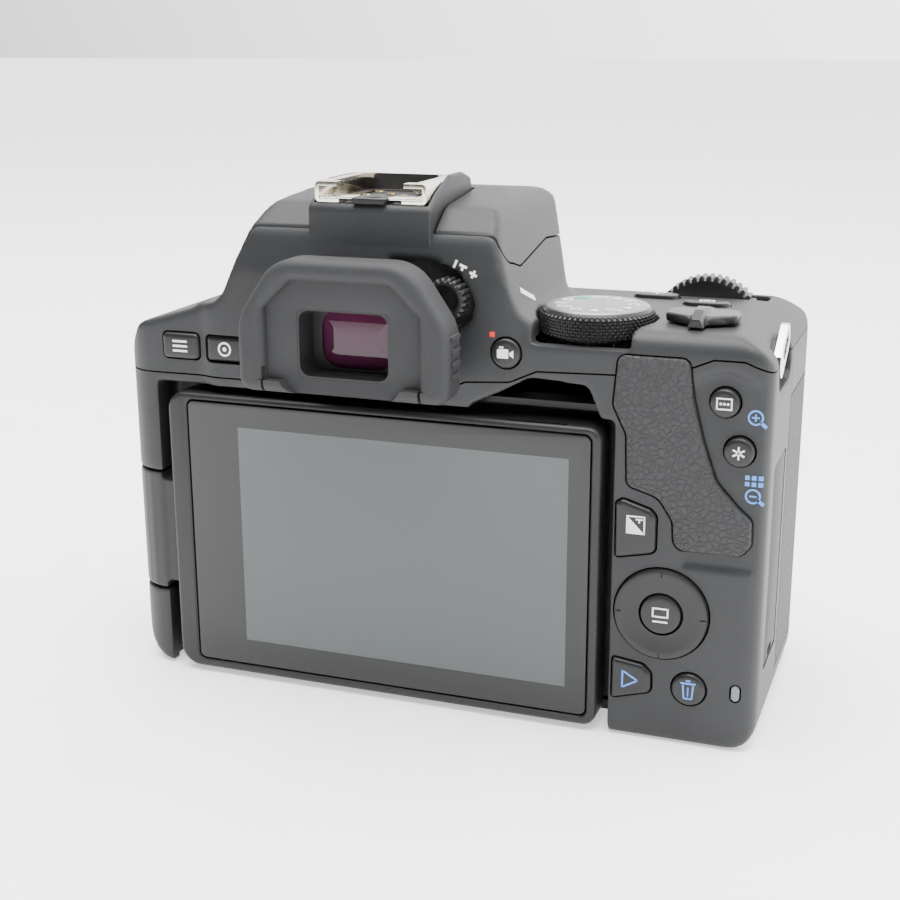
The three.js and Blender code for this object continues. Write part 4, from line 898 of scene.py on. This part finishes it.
wheel_x, wheel_z = centre("main_dial")[0], centre("main_dial")[2]
wheel_radius = (wheel_x1 - wheel_x0) / 2
thumb_wheel = toothed("y", wheel_x, wheel_z, wheel_radius, 0.5, 46,
                      [(wheel_y0, 0.9), (wheel_y0 + 0.5, 0), (wheel_y1 - 0.5, 0), (wheel_y1, 0.9)])
finish(thumb_wheel, "main_dial_wheel", "main_dial", CONTROL, ["main_dial"])
release = tilted(turned("y", 0, 0, [(SHUTTER_RADIUS, -3), (SHUTTER_RADIUS, 0.8), (4.85, 1.3), (4.4, 1.8),
                                    (3.7, 2.0), (2.4, 1.85), (1.0, 1.75)], 64))
finish(release, "shutter_release", "shutter_button", CONTROL, ["shutter_button"], 40)

# ---------------------------------------------------------------- keys
for node, corners in KEY_OUTLINES.items():
    y0, y1 = span(node)[2:4]
    key = loft(corners, "y", [(y0, 0.9), (y0 + 0.06, 0.5), (y0 + 0.22, 0.18), (y0 + 0.5, 0), (y1, 0)])
    finish(key, node + "_cap", node, CONTROL, [node], 40)
for node, corners in TOP_KEY_OUTLINES.items():
    z0, z1 = span(node)[4:6]
    key = loft(corners, "z", [(z0, 0), (z1 - 0.4, 0), (z1 - 0.12, 0.18), (z1, 0.6)])
    finish(key, node + "_cap", node, CONTROL, [node], 40)
pad_y0, pad_y1 = span("cross_key_pad")[2:4]
pad = turned("y", cross_x, cross_z, [
    (cross_radius, pad_y1), (cross_radius, pad_y0 + 0.5), (cross_radius - 0.2, pad_y0 + 0.15),
    (cross_radius - 0.7, pad_y0), (cross_radius - 1.4, pad_y0 + 0.1), (SET_RADIUS + 1, pad_y0 + 0.55),
    (SET_RADIUS - 1, pad_y0 + 0.6)], 96)
ticks = [prism(bar(cross_x + 6.9 * c, cross_z + 6.9 * s, cross_x + 7.9 * c, cross_z + 7.9 * s, 0.22), "y", -30,
               pad_y0 + 0.3) for c, s in ((0, 1), (1, 0), (0, -1), (-1, 0))]
cut(pad, rod("y", SET_RADIUS, -40, 0, cross_x, cross_z, 64), *ticks)
finish(pad, "cross_key_ring", "cross_key_pad", CONTROL, ["cross_key_pad"])
set_y0, set_y1 = span("set_button")[2:4]
set_cap = turned("y", cross_x, cross_z, [(SET_RADIUS - 0.35, set_y1), (SET_RADIUS - 0.35, set_y0 + 0.5),
                                         (SET_RADIUS - 0.5, set_y0 + 0.2), (SET_RADIUS - 0.9, set_y0 + 0.04),
                                         (SET_RADIUS - 1.5, set_y0)], 64)
finish(set_cap, "set_cap", "set_button", CONTROL, ["set_button"])
lamp = plate(LAMP_OUTLINE, "y", REAR_FACE - 0.1, REAR_FACE + 2.2, 0.2)
finish(lamp, "card_lamp", "body", LAMP, ["access_lamp"])

# ---------------------------------------------------------------- thumb pad, lugs and doors
pad_skin = plate(PAD_OUTLINE, "y", span("thumb_rest")[2], -19.5, 0.45, 3)
finish(pad_skin, "thumb_pad", "body", PAD, ["thumb_rest"], 60)
for side in ("right", "left"):
    lug = bevel(from_cad("strap_lug_" + side), 0.3, 3, 40)
    finish(lug, "strap_loop_" + side, "body", CHROME, ["strap_lug_" + side], 50)
for side, sign in (("right", 1), ("left", -1)):
    x0, x1, y0, y1, z0, z1 = span("terminal_door_" + side)
    near, far = (x0, x1) if side == "right" else (x1, x0)
    levels = [(near, 0), (far - 0.3 * sign, 0), (far - 0.1 * sign, 0.1), (far, 0.35)]
    door = loft(rectangle(y0, z0, y1, z1, 0.6), "x", levels if side == "right" else levels[::-1])
    nail_low, nail_high = sorted((far - 0.5 * sign, far + 0.5 * sign))
    cut(door, plate(pill((y0 + y1) / 2, z0 + 1.2, 4.5, 1.4), "x", nail_low, nail_high, 0.1))
    finish(door, "terminal_flap_" + side, "terminal_door_" + side, DOOR, ["terminal_door_" + side])

# ---------------------------------------------------------------- lens mount
mount_ring = bevel(from_cad("lens_mount_ring"), 0.15, 2, 40)
finish(mount_ring, "lens_ring", "body", STEEL, ["lens_mount_ring"], 20)
release_y0, release_y1 = span("lens_release_button")[2:4]
release_cap = turned("y", release_x, release_z, [
    (release_radius, release_y0), (release_radius, release_y1 - 0.6), (release_radius - 0.15, release_y1 - 0.25),
    (release_radius - 0.6, release_y1), (release_radius - 1.2, release_y1 - 0.1), (1.5, release_y1 - 0.45)], 72)
finish(release_cap, "lens_release_cap", "lens_release_button", CONTROL, ["lens_release_button"])

# ---------------------------------------------------------------- printed marks
def key_marks(node, shapes, material=WHITE):
    y0 = span(node)[2]
    return marks(node + "_mark", shapes, "y", y0 - 0.05, y0 + 0.12, node, material)


def magnifier(u, v, tail_u, tail_v, plus):
    """A magnifying glass with a plus or a minus in it."""
    shapes = ring(u, v, 1.0, 1.3) + [bar(u + (tail_u - u) * 0.45, v + (tail_v - v) * 0.45, tail_u, tail_v, 0.5),
                                     bar(u - 0.6, v, u + 0.6, v, 0.28)]
    if plus:
        shapes += [bar(u, v + 0.16, u, v + 0.6, 0.28), bar(u, v - 0.6, u, v - 0.16, 0.28)]
    return shapes


menu_x, _, menu_z = centre("menu_button")
info_x, _, info_z = centre("info_button")
key_marks("menu_button",
          [bar(menu_x - 1.5, menu_z + dz, menu_x + 1.5, menu_z + dz, 0.38) for dz in (-0.9, 0, 0.9)])
key_marks("info_button", ring(info_x, info_z, 1.0, 1.35) + [disc(info_x, info_z, 0.4)])
key_marks("live_view_button", [
    rectangle(14.6, 67.1, 16.6, 68.7, 0.2), [(16.8, 67.7), (17.5, 67.2), (17.5, 68.6), (16.8, 68.1)],
    rectangle(15, 68.85, 15.7, 69.15)])
key_marks("af_point_button",
          box_outline(52.3, 61.3, 54.7, 63.1, 0.25) + [disc(u, 62.2, 0.22) for u in (52.9, 53.5, 54.1)])
key_marks("ae_lock_button", [bar(56.2 - 1.1 * math.cos(a), 54.1 - 1.1 * math.sin(a), 56.2 + 1.1 * math.cos(a),
                                 54.1 + 1.1 * math.sin(a), 0.3) for a in (math.pi / 2, math.pi / 6, -math.pi / 6)])
key_marks("exposure_button", box_outline(38, 38.4, 41, 41.4, 0.25)
          + [[(38.1, 38.5), (40.9, 38.5), (38.1, 41.3)], bar(39.5, 40.9, 40.7, 40.9, 0.25),
             bar(40.1, 40.3, 40.1, 40.75, 0.25)])
key_marks("playback_button", [bar(38, 9.7, 38, 12.9, 0.32), bar(38.1, 12.8, 40.7, 11.3, 0.32),
                              bar(40.7, 11.3, 38.1, 9.8, 0.32)], BLUE)
key_marks("erase_button", [bar(48.3, 12.1, 50.9, 12.1, 0.32), bar(49.2, 12.6, 50, 12.6, 0.3),
                           bar(48.7, 11.8, 48.9, 9.3, 0.28), bar(50.5, 11.8, 50.3, 9.3, 0.28),
                           bar(48.8, 9.3, 50.4, 9.3, 0.28), bar(49.6, 11.4, 49.6, 9.7, 0.22)], BLUE)
key_marks("set_button", box_outline(cross_x - 1.3, cross_z - 0.3, cross_x + 1.3, cross_z + 1.2, 0.28)
          + [bar(cross_x - 1.3, cross_z - 1.2, cross_x + 1.3, cross_z - 1.2, 0.3)])
for name, shapes in {
        "zoom_in_mark": magnifier(58.5, 60, 60.3, 58.4, True),
        "zoom_out_mark": magnifier(58.7, 46.6, 60.5, 45.2, False),
        "index_view_mark": [rectangle(u, v, u + 0.75, v + 0.75) for u in (57.3, 58.4, 59.5)
                            for v in (48.3, 49.4)]}.items():
    marks(name, shapes, "y", REAR_FACE + 0.53, REAR_FACE + 0.8, "body", BLUE)
draped("live_view_dot", 13.05, 71, 13.95, 71, 0.9, "y", top_cover, "body", RED, "body_shell")
draped("mode_index", -8.8, 75.5, -14.3, 77.8, 0.9, "x", top_cover, "body", WHITE, "body_shell")
for name, ends in {
        "diopter_minus": (6.3, 81.9, 6.8, 83.2), "diopter_zero": (7.4, 82.5, 8.7, 82.0),
        "diopter_zero_stem": (8.0, 82.2, 7.8, 81.5), "diopter_plus": (9.3, 81.3, 10.6, 80.7),
        "diopter_plus_cross": (10.2, 81.6, 9.7, 80.4)}.items():
    draped(name, *ends, 0.42, "y", top_cover, "body", WHITE, "body_shell")
for name, ends in {"switch_off_mark": (40.2, 0.2, 41.6, -0.2), "switch_on_mark": (46.6, 0.9, 46.6, 2.1)}.items():
    draped(name, *ends, 0.35, "z", top_cover, "body", WHITE, "body_shell")
iso_z, display_z = span("iso_button")[5], span("display_button")[5]
marks("iso_button_mark", [bar(33.4, 13.5, 35.8, 13.5, 0.3), bar(34.6, 12.6, 34.6, 13.3, 0.3),
                          bar(34.6, 13.7, 34.6, 14.4, 0.3)], "z", iso_z - 0.1, iso_z + 0.06, "iso_button", WHITE)
marks("display_button_mark", box_outline(43.6, 7.4, 46, 9, 0.25) + [bar(44.2, 8.2, 45.4, 8.2, 0.25)],
      "z", display_z - 0.1, display_z + 0.06, "display_button", WHITE)

# ---------------------------------------------------------------- carried-over CAD nodes
for node, material in CARRIED_OVER.items():
    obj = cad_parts[node]
    obj.data.materials.clear()
    obj.data.materials.append(material)

for node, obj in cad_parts.items():
    if node not in CARRIED_OVER and not obj.hide_render:
        obj.data.materials.clear()
        obj.data.materials.append(CONTROL)

# ---------------------------------------------------------------- stage, light, camera
floor_mesh = bmesh.new()
bmesh.ops.create_grid(floor_mesh, x_segments=1, y_segments=1, size=6)
floor = new_object(floor_mesh, "floor")
paper = plain("floor_paper", (0.88, 0.88, 0.88), 0.8, grain=60, height=1e-4, spread=0.02)
paper_shader = next(node for node in paper.node_tree.nodes if node.type == "BSDF_PRINCIPLED")
paper_shader.inputs["Emission Color"].default_value = (1, 1, 1, 1)
paper_shader.inputs["Emission Strength"].default_value = 0.7
floor.data.materials.append(paper)

# The studio is brightest beyond the camera's right side and dim where the viewer stands.
world = bpy.data.worlds.new("studio")
world.use_nodes = True
studio = world.node_tree
background = studio.nodes["Background"]
background.inputs["Color"].default_value = (1, 1, 1, 1)
towards = studio.nodes.new("ShaderNodeVectorMath")
towards.operation = "DOT_PRODUCT"
towards.inputs[1].default_value = Vector((-0.62, -0.66, 0.42)).normalized()
studio.links.new(studio.nodes.new("ShaderNodeTexCoord").outputs["Generated"], towards.inputs[0])
glow = studio.nodes.new("ShaderNodeMapRange")
glow.inputs["From Min"].default_value = -0.2
glow.inputs["From Max"].default_value = 0.85
glow.inputs["To Min"].default_value = 0.08
glow.inputs["To Max"].default_value = 4.6
studio.links.new(towards.outputs["Value"], glow.inputs["Value"])
studio.links.new(glow.outputs["Result"], background.inputs["Strength"])
bpy.context.scene.world = world


def area_light(name, place, target, size, power):
    light = bpy.data.lights.new(name, "AREA")
    light.shape = "RECTANGLE"
    light.size, light.size_y = size
    light.energy = power
    obj = bpy.data.objects.new(name, light)
    obj.location = place
    obj.rotation_euler = (Vector(target) - Vector(place)).to_track_quat("-Z", "Y").to_euler()
    bpy.context.scene.collection.objects.link(obj)


area_light("top_light", (0.05, 0.1, 0.9), (0, 0, 0.04), (0.9, 0.7), 26)

camera_data = bpy.data.cameras.new("camera")
camera_data.lens = 58.78
camera_data.sensor_width = 36
camera_data.clip_start, camera_data.clip_end = 0.01, 20
camera = bpy.data.objects.new("camera", camera_data)
camera.matrix_world = Matrix((
    (-0.93947, 0.09049, -0.33048, -0.091194),
    (-0.34262, -0.25922, 0.90300, 0.256084),
    (-0.00396, 0.96157, 0.27453, 0.120769),
    (0, 0, 0, 1)))
bpy.context.scene.collection.objects.link(camera)
bpy.context.scene.camera = camera
